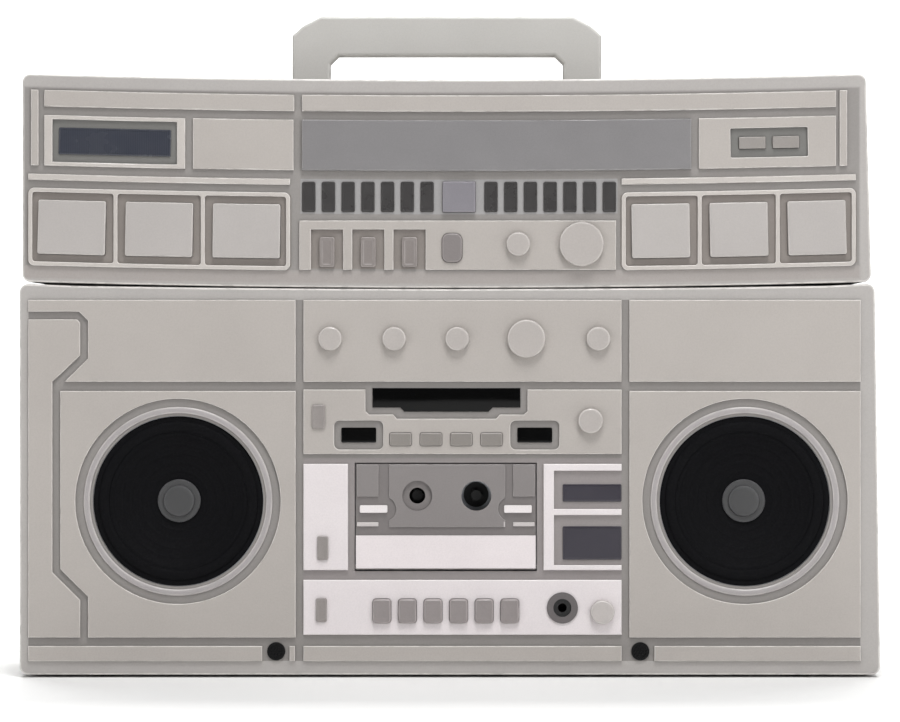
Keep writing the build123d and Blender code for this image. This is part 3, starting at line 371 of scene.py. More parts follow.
@dataclass(frozen=True)
class PlatedMetal:
    """Pressed or turned metal with a thin plated skin, drawn along one way or turned in rings."""

    name: str
    tone: str
    shade: str
    roughness: float = 0.34
    centre: tuple[float, float, float] | None = None
    line_mm: float = 0.8        # tool marks are 0.1 mm apart; drawn coarser, so that they show

    def build(self) -> Finish:
        """Lay the nodes.

        Returns:
            The material.
        """
        material, add, point = open_material(self.name)
        if self.centre:
            own = add("ShaderNodeMapping", {0: point, "Location": [-c for c in self.centre]})
            marks = add("ShaderNodeTexWave", {0: own, 1: wave_per_mm(self.line_mm), 2: 0.3, 3: 3.0}, "Fac",
                        wave_type="RINGS", rings_direction="Y")
        else:
            drawn = add("ShaderNodeMapping", {0: point, "Scale": (0.06, 1.0, 1.0)})
            marks = add(NOISE, {0: drawn, 2: per_mm(self.line_mm), 3: 3.0, 4: 0.55})
        cloud = add(NOISE, {0: point, 2: per_mm(18.0), 3: 4.0, 4: 0.55})
        clouded = add(SPREAD, {0: cloud, 1: 0.4, 2: 0.7})
        colour = add(MIX, {0: clouded, 6: srgb(self.tone), 7: srgb(self.shade)})
        rough = add(SPREAD, {0: marks, 1: 0.2, 2: 0.8, 3: self.roughness - 0.06, 4: self.roughness + 0.12})
        bump = add("ShaderNodeBump", {"Strength": 0.3, "Distance": 0.02 * MM, "Height": marks})
        end_material(add, {"Base Color": colour, "Metallic": 1.0, "Roughness": rough, "Normal": bump})
        return material


@dataclass(frozen=True)
class MouldedRubber:
    """Compression-moulded black rubber: deep, dull, with a bloom of pale dust in its pores."""

    name: str
    tone: str
    dust: str = "5a5856"

    def build(self) -> Finish:
        """Lay the nodes.

        Returns:
            The material.
        """
        material, add, point = open_material(self.name)
        bloom = add(NOISE, {0: point, 2: per_mm(7.0), 3: 6.0, 4: 0.55})
        pores = add(NOISE, {0: point, 2: per_mm(0.9), 3: 2.0, 4: 0.55})
        dusty = add(SPREAD, {0: bloom, 1: 0.5, 2: 0.8, 3: 0.0, 4: 0.4})
        colour = add(MIX, {0: dusty, 6: srgb(self.tone), 7: srgb(self.dust)})
        bump = add("ShaderNodeBump", {"Strength": 0.6, "Distance": 0.05 * MM, "Height": pores})
        end_material(add, {"Base Color": colour, "Normal": bump,
                           "Roughness": add(SPREAD, {0: pores, 1: 0.3, 2: 0.7, 3: 0.72, 4: 0.92})})
        return material


@dataclass(frozen=True)
class CircuitLaminate:
    """Glass-cloth laminate under green solder mask, with its soldered parts in black and aluminium tones."""

    name: str
    mask: str
    parts: str
    board_back: float           # level that the laminate ends at and its parts start from
    cloth_mm: float = 4.0       # real weave is 0.5 mm; drawn coarser, so that it shows

    def build(self) -> Finish:
        """Lay the nodes.

        Returns:
            The material.
        """
        material, add, point = open_material(self.name)
        flat = add("ShaderNodeMapping", {0: point, "Rotation": (math.radians(90), 0, 0)})
        cloth = add("ShaderNodeTexBrick", {
            0: flat, "Scale": per_mm(self.cloth_mm), "Color1": srgb(self.mask), "Color2": srgb("2d6b45"),
            "Mortar": srgb("3f7d52"), "Mortar Size": 0.03}, "Color")
        depth = add("ShaderNodeSeparateXYZ", {0: point}, "Y")
        behind = add(SPREAD, {0: depth, 1: self.board_back, 2: self.board_back + 0.2 * MM})
        kinds = add(SPREAD, {0: add(NOISE, {0: point, 2: per_mm(23.0), 3: 1.0, 4: 0.55}), 1: 0.45, 2: 0.55})
        shade = add(MIX, {0: kinds, 6: srgb(self.parts), 7: srgb("4b4f58")})
        colour = add(MIX, {0: behind, 6: cloth, 7: shade})
        gloss = add(NOISE, {0: point, 2: per_mm(3.0), 3: 3.0, 4: 0.55})
        rough = add(SPREAD, {0: gloss, 1: 0.3, 2: 0.7, 3: 0.3, 4: 0.5})
        ripple = add(NOISE, {0: point, 2: per_mm(1.6), 3: 3.0, 4: 0.55})
        bump = add("ShaderNodeBump", {"Strength": 0.4, "Distance": 0.03 * MM, "Height": ripple})
        end_material(add, {"Base Color": colour, "Roughness": rough, "Normal": bump})
        return material


# ------------------------------------------------------------------ mesh code
def finish_mesh(name: str, vertices: Sequence[Vector], faces: Sequence[Sequence[int]],
                material: Finish) -> Piece:
    """Make an object of a closed mesh, with outward normals and smooth rounds.

    Args:
        name: name of the piece.
        vertices: points in metres, in the row frame.
        faces: corner numbers of each face.
        material: its finish.

    Returns:
        The new object, at the origin.
    """
    mesh = bpy.data.meshes.new(name)
    mesh.from_pydata([tuple(v) for v in vertices], [], [list(f) for f in faces])
    work = bmesh.new()
    work.from_mesh(mesh)
    bmesh.ops.remove_doubles(work, verts=work.verts, dist=1e-7)
    bmesh.ops.recalc_face_normals(work, faces=work.faces)
    work.to_mesh(mesh)
    work.free()
    smooth_rounds(mesh)
    mesh.materials.append(material)
    piece = bpy.data.objects.new(name, mesh)
    bpy.context.scene.collection.objects.link(piece)
    return piece


def smooth_rounds(mesh: bpy.types.Mesh, angle: float = 38.0) -> None:
    """Shade smooth what turns less than an angle in degrees, and keep the rest sharp."""
    mesh.shade_smooth()
    mesh.set_sharp_from_angle(angle=math.radians(angle))


def rounded_outline(across: float, tall: float, corner: float, steps: int = 7) -> list[tuple[float, float]]:
    """Rectangle about the origin with rounded corners, always with the same number of points.

    Args:
        across: width.
        tall: height.
        corner: radius of the corners.
        steps: points on each corner.

    Returns:
        The points, anticlockwise.
    """
    corner = max(min(corner, across / 2 - 1e-6, tall / 2 - 1e-6), 1e-6)
    points = []
    for quarter, (side, end) in enumerate(((1, 1), (-1, 1), (-1, -1), (1, -1))):
        for step in range(steps):
            turn = math.pi / 2 * (quarter + step / (steps - 1))
            points.append((side * (across / 2 - corner) + corner * math.cos(turn),
                           end * (tall / 2 - corner) + corner * math.sin(turn)))
    return points


def quarter_round(radius: float, steps: int) -> Profile:
    """Steps of a rounded edge, as how far each is drawn in and how far it stays below the face."""
    turns = [math.pi / 2 * i / steps for i in range(1, steps + 1)]
    return [(radius * (1 - math.cos(turn)), radius * (1 - math.sin(turn))) for turn in turns]


def stacked_rings(rings: list[list[Vector]], loop: bool = False) -> tuple[list[Vector], list[list[int]]]:
    """Skin a stack of rings of equal length.

    Args:
        rings: points of each ring.
        loop: the last ring joins the first; otherwise both ends are closed by a face.

    Returns:
        Points and faces.
    """
    count = len(rings[0])
    vertices = [point for ring in rings for point in ring]
    faces = [] if loop else [list(range(count)), list(range(len(vertices) - count, len(vertices)))]
    for level in range(len(rings) - 1 + loop):
        here, there = level * count, (level + 1) % len(rings) * count
        for i in range(count):
            j = (i + 1) % count
            faces.append([here + i, here + j, there + j, there + i])
    return vertices, faces


@dataclass
class Slab:
    """A moulded button, key or plate: a rounded outline drawn in by its profile, from back to front."""

    name: str
    centre: tuple[float, float]
    across: float
    tall: float
    corner: float
    profile: Profile            # (inset, level) pairs
    turn: float = 0.0

    def build(self, material: Finish) -> Piece:
        """Make the piece.

        Args:
            material: its finish.

        Returns:
            The new object.
        """
        rings = []
        c, s = math.cos(self.turn), math.sin(self.turn)
        for inset, level in self.profile:
            outline = rounded_outline(self.across - 2 * inset, self.tall - 2 * inset, self.corner - inset)
            rings.append([Vector((self.centre[0] + x * c - z * s, level, self.centre[1] + x * s + z * c))
                          for x, z in outline])
        return finish_mesh(self.name, *stacked_rings(rings), material)


@dataclass
class Turned:
    """A piece turned about an axis that runs from front to back."""

    name: str
    centre: tuple[float, float]
    profile: Profile            # (radius, level) pairs
    loop: bool = False          # the profile is a closed section, as on a ring or a shell
    segments: int = 96

    def build(self, material: Finish) -> Piece:
        """Make the piece.

        Args:
            material: its finish.

        Returns:
            The new object.
        """
        turns = [2 * math.pi * i / self.segments for i in range(self.segments)]
        rings = []
        for radius, level in self.profile:
            radius = max(radius, 1e-5)
            rings.append([Vector((self.centre[0] + radius * math.cos(turn), level,
                                  self.centre[1] + radius * math.sin(turn))) for turn in turns])
        return finish_mesh(self.name, *stacked_rings(rings, self.loop), material)


def cut_plate(name: str, outline: Profile, back: float, front: float, edge: float, material: Finish) -> Piece:
    """Plate of any outline with a rounded front edge.

    Args:
        name: name of the piece.
        outline: its corners in X and Z.
        back: level of its back.
        front: level of its front.
        edge: radius of the front edge.
        material: its finish.

    Returns:
        The new object.
    """
    work = bmesh.new()
    face = work.faces.new([work.verts.new((x, back, z)) for x, z in outline])
    grown = bmesh.ops.extrude_face_region(work, geom=[face])
    moved = [item for item in grown["geom"] if isinstance(item, bmesh.types.BMVert)]
    bmesh.ops.translate(work, vec=(0, front - back, 0), verts=moved)
    rim = [e for e in work.edges if all(abs(v.co.y - front) < 1e-9 for v in e.verts)]
    bmesh.ops.bevel(work, geom=rim, offset=edge, segments=3, profile=0.5, affect="EDGES")
    work.verts.index_update()
    vertices = [v.co.copy() for v in work.verts]
    faces = [[v.index for v in f.verts] for f in work.faces]
    work.free()
    return finish_mesh(name, vertices, faces, material)


def solid_boxes(node: str) -> list[Box]:
    """Boxes of the separate solids in a CAD node, read from a merged copy of its mesh.

    Args:
        node: name of the CAD node.

    Returns:
        The lowest and highest corner of each solid, sorted by height and then by place across.
    """
    work = bmesh.new()
    work.from_mesh(bpy.data.objects[node].data)
    bmesh.ops.remove_doubles(work, verts=work.verts, dist=1e-6)
    left, boxes = set(work.verts), []
    while left:
        queue, group = [left.pop()], []
        while queue:
            vertex = queue.pop()
            group.append(vertex.co.copy())
            for joined in vertex.link_edges:
                other = joined.other_vert(vertex)
                if other in left:
                    left.remove(other)
                    queue.append(other)
        boxes.append((Vector([min(p[i] for p in group) for i in range(3)]),
                      Vector([max(p[i] for p in group) for i in range(3)])))
    work.free()
    return sorted(boxes, key=lambda b: (round(b[0].z, 3), b[0].x))


def middle_of(box: Box) -> Vector:
    """Middle of a box."""
    return (box[0] + box[1]) / 2


def install(piece: Piece, body: str, slot: Slot, *nodes: str) -> None:
    """Put a finished piece on its body, in place of its CAD nodes.

    Args:
        piece: the finished object.
        body: CAD body that it moves with.
        slot: not used.
        *nodes: CAD nodes that it stands for.
    """
    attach(piece, body)
    if nodes:
        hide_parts(*nodes)
    log.info("%s rides on %s, %d faces", piece.name, body, len(piece.data.polygons))


def dress(node: str, material: Finish) -> None:
    """Give a CAD node its finish."""
    for slot in bpy.data.objects[node].material_slots:
        slot.material = material
    log.info("%s is finished in %s", node, material.name)


# ------------------------------------------------------------------ geometry node trees
@dataclass
class Repeater:
    """A geometry node tree that repeats a shape, and the way it is turned into a plain mesh."""

    name: str
    sizes: dict[str, str]       # kind of socket of each named input
    tree: bpy.types.NodeTree = field(init=False)
    entry: bpy.types.Node = field(init=False)

    def __post_init__(self) -> None:
        """Open the tree with its inputs and output."""
        self.tree = bpy.data.node_groups.new(self.name, "GeometryNodeTree")
        self.tree.interface.new_socket("Geometry", in_out="OUTPUT", socket_type="NodeSocketGeometry")
        for name, kind in {"Geometry": "Geometry", **self.sizes, "Finish": "Material"}.items():
            self.tree.interface.new_socket(name, in_out="INPUT", socket_type=f"NodeSocket{kind}")
        self.entry = self.tree.nodes.new("NodeGroupInput")

    def add(self, kind: str | NodeKind, feeds: dict[Any, Any] | None = None, out: int | str = 0,
            **settings: Any) -> Socket:
        """Add a node, in whose feeds a word stands for the input of that name."""
        named = {key: self.entry.outputs[v] if isinstance(v, str) else v for key, v in (feeds or {}).items()}
        return add_node(self.tree, kind, named, out, **settings)

    def end(self, points: Any, shape: Socket) -> None:
        """Put the shape on the points, make it real, give it its finish and close the tree.

        Args:
            points: socket of the points, or the name of the input that brings them.
            shape: socket of the shape.
        """
        copies = self.add("GeometryNodeInstanceOnPoints", {"Points": points, "Instance": shape})
        real = self.add("GeometryNodeRealizeInstances", {0: copies})
        finished = self.add("GeometryNodeSetMaterial", {"Geometry": real, "Material": "Finish"})
        self.add("NodeGroupOutput", {0: finished})

    def make(self, name: str, points: Sequence[Vector], **values: Any) -> Piece:
        """Run the tree on some points and keep the result as a plain mesh.

        Args:
            name: name of the new piece.
            points: places that the host mesh holds.
            **values: value of each named input, with underscores for spaces.

        Returns:
            The piece, with no modifier left.
        """
        mesh = bpy.data.meshes.new(name)
        mesh.from_pydata([tuple(p) for p in points], [], [])
        host = bpy.data.objects.new(name, mesh)
        bpy.context.scene.collection.objects.link(host)
        modifier = host.modifiers.new(self.name, "NODES")
        modifier.node_group = self.tree
        for socket in self.tree.interface.items_tree:
            key = socket.name.replace(" ", "_")
            if key in values:
                modifier[socket.identifier] = values[key]
        graph = bpy.context.evaluated_depsgraph_get()
        result = bpy.data.meshes.new_from_object(host.evaluated_get(graph), depsgraph=graph)
        host.modifiers.clear()
        host.data = result
        result.name = name
        smooth_rounds(result)
        return host


def row_tree() -> Repeater:
    """Build the tree that lays copies of one piece in a straight row.

    Returns:
        The tree.
    """
    row = Repeater("row_of_pieces", {"Piece": "Object", "Count": "Int", "Start": "Vector", "Step": "Vector"})
    line = row.add("GeometryNodeMeshLine", {"Count": "Count", "Start Location": "Start", "Offset": "Step"},
                   mode="OFFSET")
    piece = row.add("GeometryNodeObjectInfo", {"Object": "Piece"}, "Geometry", transform_space="ORIGINAL")
    row.end(line, piece)
    return row


def screw_tree() -> Repeater:
    """Build the tree that seats cross-recessed screw heads on points, facing back.

    Returns:
        The tree.
    """
    names = ("Head Radius", "Head Height", "Slot Width", "Slot Length", "Slot Depth", "Shank Radius",
             "Shank Length")
    screw = Repeater("cross_recess_screws", {name: "Float" for name in names})
    add = screw.add
    head = add("GeometryNodeMeshCylinder", {"Vertices": 40, "Radius": "Head Radius", "Depth": "Head Height"},
               "Mesh")
    half = add("ShaderNodeMath", {0: "Head Height", 1: 0.5}, operation="MULTIPLY")
    top = add("ShaderNodeCombineXYZ", {2: half})
    slots = add("GeometryNodeMeshBoolean", operation="UNION")
    for across, along in (("Slot Width", "Slot Length"), ("Slot Length", "Slot Width")):
        size = add("ShaderNodeCombineXYZ", {0: across, 1: along, 2: "Slot Depth"})
        bar = add("GeometryNodeMeshCube", {"Size": size}, "Mesh")
        raised = add("GeometryNodeTransform", {"Geometry": bar, "Translation": top})
        screw.tree.links.new(raised, slots.node.inputs[1])
    cut = add("GeometryNodeMeshBoolean", {0: head, 1: slots}, operation="DIFFERENCE")
    down = add("ShaderNodeMath", {0: "Shank Length", 1: -0.5}, operation="MULTIPLY")
    under = add("ShaderNodeMath", {0: down, 1: half}, operation="SUBTRACT")
    shank = add("GeometryNodeMeshCylinder",
                {"Vertices": 24, "Radius": "Shank Radius", "Depth": "Shank Length"}, "Mesh")
    drop = add("ShaderNodeCombineXYZ", {2: under})
    low = add("GeometryNodeTransform", {"Geometry": shank, "Translation": drop})
    both = add("GeometryNodeJoinGeometry", {0: cut})
    screw.tree.links.new(low, both.node.inputs[0])
    turned = add("GeometryNodeTransform", {"Geometry": both, "Rotation": (math.radians(-90), 0, 0)})
    screw.end("Geometry", turned)
    return screw


def grille_tree() -> Repeater:
    """Build the tree that drills a round plug with two rings of holes and seats it on points, facing front.

    Returns:
        The tree.
    """
    names = ("Radius", "Depth", "Hole Radius", "Inner Ring", "Outer Ring")
    grille = Repeater("drilled_grille", {name: "Float" for name in names})
    add = grille.add
    plug = add("GeometryNodeMeshCylinder", {"Vertices": 64, "Radius": "Radius", "Depth": "Depth"}, "Mesh")
    spots = add("GeometryNodeJoinGeometry")
    for count, ring in ((6, "Inner Ring"), (12, "Outer Ring")):
        circle = add("GeometryNodeMeshCircle", {"Vertices": count, "Radius": ring})
        grille.tree.links.new(circle, spots.node.inputs[0])
    grille.tree.links.new(add("GeometryNodeMeshLine", {"Count": 1}), spots.node.inputs[0])
    drill = add("GeometryNodeMeshCylinder", {"Vertices": 14, "Radius": "Hole Radius", "Depth": "Depth"},
                "Mesh")
    lift = add("ShaderNodeMath", {0: "Depth", 1: 0.8}, operation="MULTIPLY")
    up = add("ShaderNodeCombineXYZ", {2: lift})
    raised = add("GeometryNodeTransform", {"Geometry": drill, "Translation": up})
    drills = add("GeometryNodeInstanceOnPoints", {"Points": spots, "Instance": raised})
    real = add("GeometryNodeRealizeInstances", {0: drills})
    cut = add("GeometryNodeMeshBoolean", {0: plug, 1: real}, operation="DIFFERENCE")
    turned = add("GeometryNodeTransform", {"Geometry": cut, "Rotation": (math.radians(90), 0, 0)})
    grille.end("Geometry", turned)
    return grille


# ------------------------------------------------------------------ sub-assemblies
@dataclass(frozen=True)
class Bow:
    """The bow of the tuner section, whose ends stand above its middle."""

    rise: float = 4.5 * MM
    reach: float = 310.0 * MM

    def lift(self, x: float) -> float:
        """How far a point across stands above the middle."""
        return self.rise * (x / self.reach) ** 2

    def turn(self, x: float) -> float:
        """Angle that a level line is tilted by at a point across."""
        return math.atan(2 * self.rise * x / self.reach ** 2)


BOW = Bow()


def upright_size(box: Box, rounds: float, turn: float) -> tuple[float, float]:
    """Width and height of a tilted plate, worked out from the box round it.

    Args:
        box: box of the plate.
        rounds: twice the radius of its corners, which look the same at any tilt.
        turn: its tilt.

    Returns:
        Width and height of the plate before it is tilted.
    """
    c, s = math.cos(turn), abs(math.sin(turn))
    wide, tall = (box[1] - box[0]).x - rounds, (box[1] - box[0]).z - rounds
    scale = c * c - s * s
    return (wide * c - tall * s) / scale + rounds, (tall * c - wide * s) / scale + rounds


@dataclass
class Cabinet:
    """The moulded shells: both fronts, the back, the deck's pale trims, the scale and the handle."""

    plate_over: float = 1.1 * MM        # levels that part the base plate from what stands on it and behind it
    plate_under: float = 0.8 * MM
    panel_over: float = 9.0 * MM
    border: str = "aaa6a3"
    panel: str = "aca6a1"
    # painted light in these tones: the grooves, the wells round keys and levers, the floor round the level
    # bars, the strip under the key frames and the floor round the deck trim are painted shade; the display
    # bezel is its own darker grey with painted shade; the raised frames get a painted highlight
    groove: str = "898582"
    moat_shade: str = "857e79"
    bezel_grey_and_shade: str = "72716e"
    bar_floor_shade: str = "9a9898"
    frame: str = "bab4af"
    foot: str = "98918d"
    bay_surround_shade: str = "8e8887"
    plate: float = field(init=False)

    def __post_init__(self) -> None:
        """Read the level of the front shells' base plate."""
        self.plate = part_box("speaker_rings")[1].y

    def floor(self, low: Vector, high: Vector, tone: str, side: float = 0.0, ends: float = 0.0,
              soft_mm: float = 0.3) -> Zone:
        """Zone of the base plate only, not of what stands on it.

        Args:
            low: corner of the box that it takes in.
            high: the other corner.
            tone: its tone.
            side: margin in millimetres to the left and right.
            ends: margin in millimetres above and below.
            soft_mm: width of its soft edge.

        Returns:
            The zone.
        """
        return Zone((low.x - side * MM, self.plate - self.plate_over, low.z - ends * MM),
                    (high.x + side * MM, self.plate + self.plate_under, high.z + ends * MM), tone, soft_mm)

    def raised(self, low: Sequence[float], high: Sequence[float], tone: str) -> Zone:
        """Zone of the panels that stand on the base plate, between two points of X and Z."""
        return Zone((low[0], self.plate - self.panel_over, low[1]),
                    (high[0], self.plate - self.plate_over, high[1]), tone)

    def levelled(self, first: Box, last: Box | None = None) -> Box:
        """Box of one or two pieces with the bow taken off their height.

        Args:
            first: box of the piece furthest left.
            last: box of the piece furthest right, where there are two.

        Returns:
            The levelled box.
        """
        low, high = first[0], (last or first)[1]
        lift = Vector((0, 0, BOW.lift((low + high).x / 2)))
        return low - lift, high - lift

    def upper_zones(self) -> tuple[Zone, ...]:
        """Tones of the tuner section's front, with the bow taken off: its own panel tone, painted shade on
        the base plate and a painted highlight on the raised frames.

        Returns:
            The zones, from the widest to the narrowest.
        """
        scale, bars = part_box("tuner_scale"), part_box("level_bars")
        left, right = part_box("preset_key_1")[0].x - 8 * MM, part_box("preset_key_6")[1].x + 8 * MM
        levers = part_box("tone_lever_1")[0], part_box("tone_lever_3")[1]
        buttons = self.levelled(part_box("display_button_1"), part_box("display_button_2"))
        lcd = self.levelled(solid_boxes("window_lenses")[-1])
        top = scale[1].z + 18.5 * MM
        foot = middle_of(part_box("preset_key_3")).z - 29 * MM
        cells = []
        for first, last in ((1, 3), (4, 6)):
            low, high = self.levelled(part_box(f"preset_key_{first}"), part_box(f"preset_key_{last}"))
            low.z, high.z = [(low.z + high.z) / 2 + reach for reach in (-26 * MM, 26 * MM)]
            # painted shade in the wells round the preset keys
            cells.append(self.floor(low, high, self.moat_shade, 6))
        return (
            self.raised((-1, 0), (1, 1), self.panel),
            # painted shade on the strip under the key frames, whose rounded bottom edge faces down, and in
            # the grooves of the key row
            self.floor(Vector((left, 0, foot - 9 * MM)), Vector((right, 0, foot)), self.foot, soft_mm=5.0),
            self.floor(Vector((left, 0, foot)), Vector((right, 0, top)), self.groove, soft_mm=2.5),
            # painted highlight on the raised key frames and on the frame round the display
            self.raised((left, foot - MM), (right, foot + 66.5 * MM), self.frame),
            self.raised((lcd[0].x - 13 * MM, lcd[0].z - 12 * MM), (lcd[1].x + 11 * MM, lcd[1].z + 12 * MM),
                        self.frame),
            self.raised((levers[0].x - 16 * MM, 0), (scale[1].x - 52 * MM, scale[0].z), self.panel),
            *cells,
            # painted shade, lighter than in the grooves, on the floor round the level bars, and painted shade
            # in the lever wells
            self.floor(*bars, self.bar_floor_shade, 1, 1.5),
            self.floor(levers[0] + Vector((0, 0, 5.5 * MM)), levers[1], self.moat_shade, 8, 7),
            # the display bezel and the floor round the display buttons: their own darker grey with painted
            # shade
            self.floor(*lcd, self.bezel_grey_and_shade, 6, 7),
            self.floor(*buttons, self.bezel_grey_and_shade, 8, 6),
        )

    def lower_zones(self) -> tuple[Zone, ...]:
        """Tones of the speaker and deck section's front: its own panel tone and painted shade in the grooves
        and round the deck trim.

        Returns:
            The zones, from the widest to the narrowest.
        """
        (low, high), (trim_low, trim_high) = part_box("lower_front_cabinet"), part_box("deck_trim")
        return (
            self.raised((-1, 0), (1, 1), self.panel),
            # painted shade in the grooves and, a little lighter, on the floor round the deck trim
            self.floor(low + Vector((6.5, 0, 10)) * MM, high - Vector((14.5, 0, 11.5)) * MM, self.groove),
            self.floor(trim_low, trim_high + Vector((0, 0, 4 * MM)), self.bay_surround_shade),
        )

    def dress(self) -> None:
        """Finish the shells, which keep their CAD shape."""
        finishes = {
            "upper_front_cabinet": MouldedPlastic("satin_moulded_abs_upper_front", self.border,
                                                  zones=self.upper_zones(), bow=BOW.rise / BOW.reach ** 2),
            "lower_front_cabinet": MouldedPlastic("satin_moulded_abs_lower_front", self.border,
                                                  zones=self.lower_zones()),
            "rear_cabinet": MouldedPlastic("satin_moulded_abs_rear", "aba8a4", roughness=0.58),
            "deck_trim": MouldedPlastic("gloss_white_moulded_abs_trim", "ddd6d7", rim_wear_and_highlight_tone="efeaea",
                                        roughness=0.42, grain_depth_mm=0.03),
            "tuner_scale": MouldedPlastic("smoked_satin_polycarbonate_scale", "7e7c7d", rim_wear_and_highlight_tone="a3a1a1",
                                          roughness=0.36, grain_depth_mm=0.02, flow_mm=120.0),
            "handle": MouldedPlastic("satin_moulded_abs_handle", "b8b6b2", rim_wear_and_highlight_tone="d2d0cc", roughness=0.5),
        }
        for node, finish in finishes.items():
            dress(node, finish.build())


@dataclass
class Windows:
    """Display window, deck windows and meter windows, as acrylic plates with rounded edges."""

    edge: float = 0.5 * MM
    corner: float = 1.0 * MM
    lip: float = 0.8 * MM
    lip_depth: float = 0.25 * MM
    step_inset: float = 20.0 * MM
    step_drop: float = 3.0 * MM
    meter_height: float = 12.0 * MM     # the meters' windows are taller than this, the small ones aren't

    def plate(self, name: str, box: Box, material: Finish, turn: float = 0.0) -> None:
        """Make one rectangular window.

        Args:
            name: its name.
            box: its CAD box.
            material: its finish.
            turn: its tilt.
        """
        across, tall = upright_size(box, 0.0, turn)
        front, inner = box[0].y, self.edge + self.lip
        profile = [(0.0, box[1].y), (0.0, front + self.edge), (self.edge * 0.3, front + self.edge * 0.3),
                   (self.edge, front), (inner, front), (inner + 0.1 * MM, front + self.lip_depth),
                   (inner + 0.6 * MM, front + self.lip_depth)]
        middle = middle_of(box)
        piece = Slab(name, (middle.x, middle.z), across, tall, self.corner, profile, turn).build(material)
        install(piece, "cabinet", Slot.LENS, *(("window_lenses",) if name == "display_window" else ()))

    def stepped_outline(self, low: Vector, high: Vector) -> Profile:
        """Outline of the counter window, whose middle reaches lower than its ends.

        Args:
            low: lowest corner of its box.
            high: highest corner of its box.

        Returns:
            The corners in X and Z.
        """
        inset, slant = self.step_inset, self.step_inset + self.step_drop
        rise = low.z + self.step_drop
        return [(low.x, high.z), (low.x, rise), (low.x + inset, rise), (low.x + slant, low.z),
                (high.x - slant, low.z), (high.x - inset, rise), (high.x, rise), (high.x, high.z)]

    def build(self) -> None:
        """Make the six windows."""
        *others, display = solid_boxes("window_lenses")
        wide = max(others, key=lambda b: b[1].x - b[0].x)
        others.remove(wide)
        meters = [b for b in others if b[1].z - b[0].z > self.meter_height]
        side = [b for b in others if b not in meters]
        black = TintedAcrylic("black_gloss_acrylic_window", "020202", "0c0c0d", 0.08, gloss=0.2).build()
        slate = TintedAcrylic("slate_tinted_acrylic_display", "373a44", "787772", 0.24, line_mm=1.6).build()
        smoke = TintedAcrylic("smoked_violet_acrylic_meter", "333039", "69656a", 0.22).build()
        self.plate("display_window", display, slate, BOW.turn(middle_of(display).x))
        outline = self.stepped_outline(*wide)
        piece = cut_plate("counter_window", outline, wide[1].y, wide[0].y, self.edge, black)
        install(piece, "cabinet", Slot.LENS)
        for name, box in zip(("left_tape_window", "right_tape_window"), sorted(side, key=lambda b: b[0].x)):
            self.plate(name, box, black)
        for name, box in zip(("lower_meter_window", "upper_meter_window"), meters):
            self.plate(name, box, smoke)


@dataclass
class LevelBars:
    """Two rows of seven level bars, one each side of the band key."""

    count: int = 7
    corner: float = 1.5 * MM
    edge: float = 0.35 * MM
    lip: float = 1.4 * MM
    lip_depth: float = 0.4 * MM

    def build(self, row: Repeater) -> None:
        """Lay each row from one bar's mesh.

        Args:
            row: tree that repeats a piece.
        """
        boxes = sorted(solid_boxes("level_bars"), key=lambda b: b[0].x)
        finish = MouldedPlastic("smoked_moulded_acrylic_bar", "393737", rim_wear_and_highlight_tone="6a6867", roughness=0.3,
                                grain_depth_mm=0.02, flow_mm=9.0).build()
        size = boxes[0][1] - boxes[0][0]
        sunk = self.lip_depth - size.y
        profile = [(0.0, 0.0), (0.0, self.edge - size.y), (self.edge, -size.y), (self.lip, -size.y),
                   (self.lip + 0.2 * MM, sunk), (self.lip + 0.7 * MM, sunk)]
        bar = Slab("level_bar_master", (0, 0), size.x, size.z, self.corner, profile).build(finish)
        step = boxes[1][0].x - boxes[0][0].x
        for name, first in (("left_level_bars", boxes[0]), ("right_level_bars", boxes[self.count])):
            start = middle_of(first)
            start.y = first[1].y
            piece = row.make(name, [], Piece=bar, Count=self.count, Start=start.to_tuple(),
                             Step=(step, 0.0, 0.0), Finish=finish)
            install(piece, "cabinet", Slot.BAR, "level_bars")
        bpy.data.objects.remove(bar)


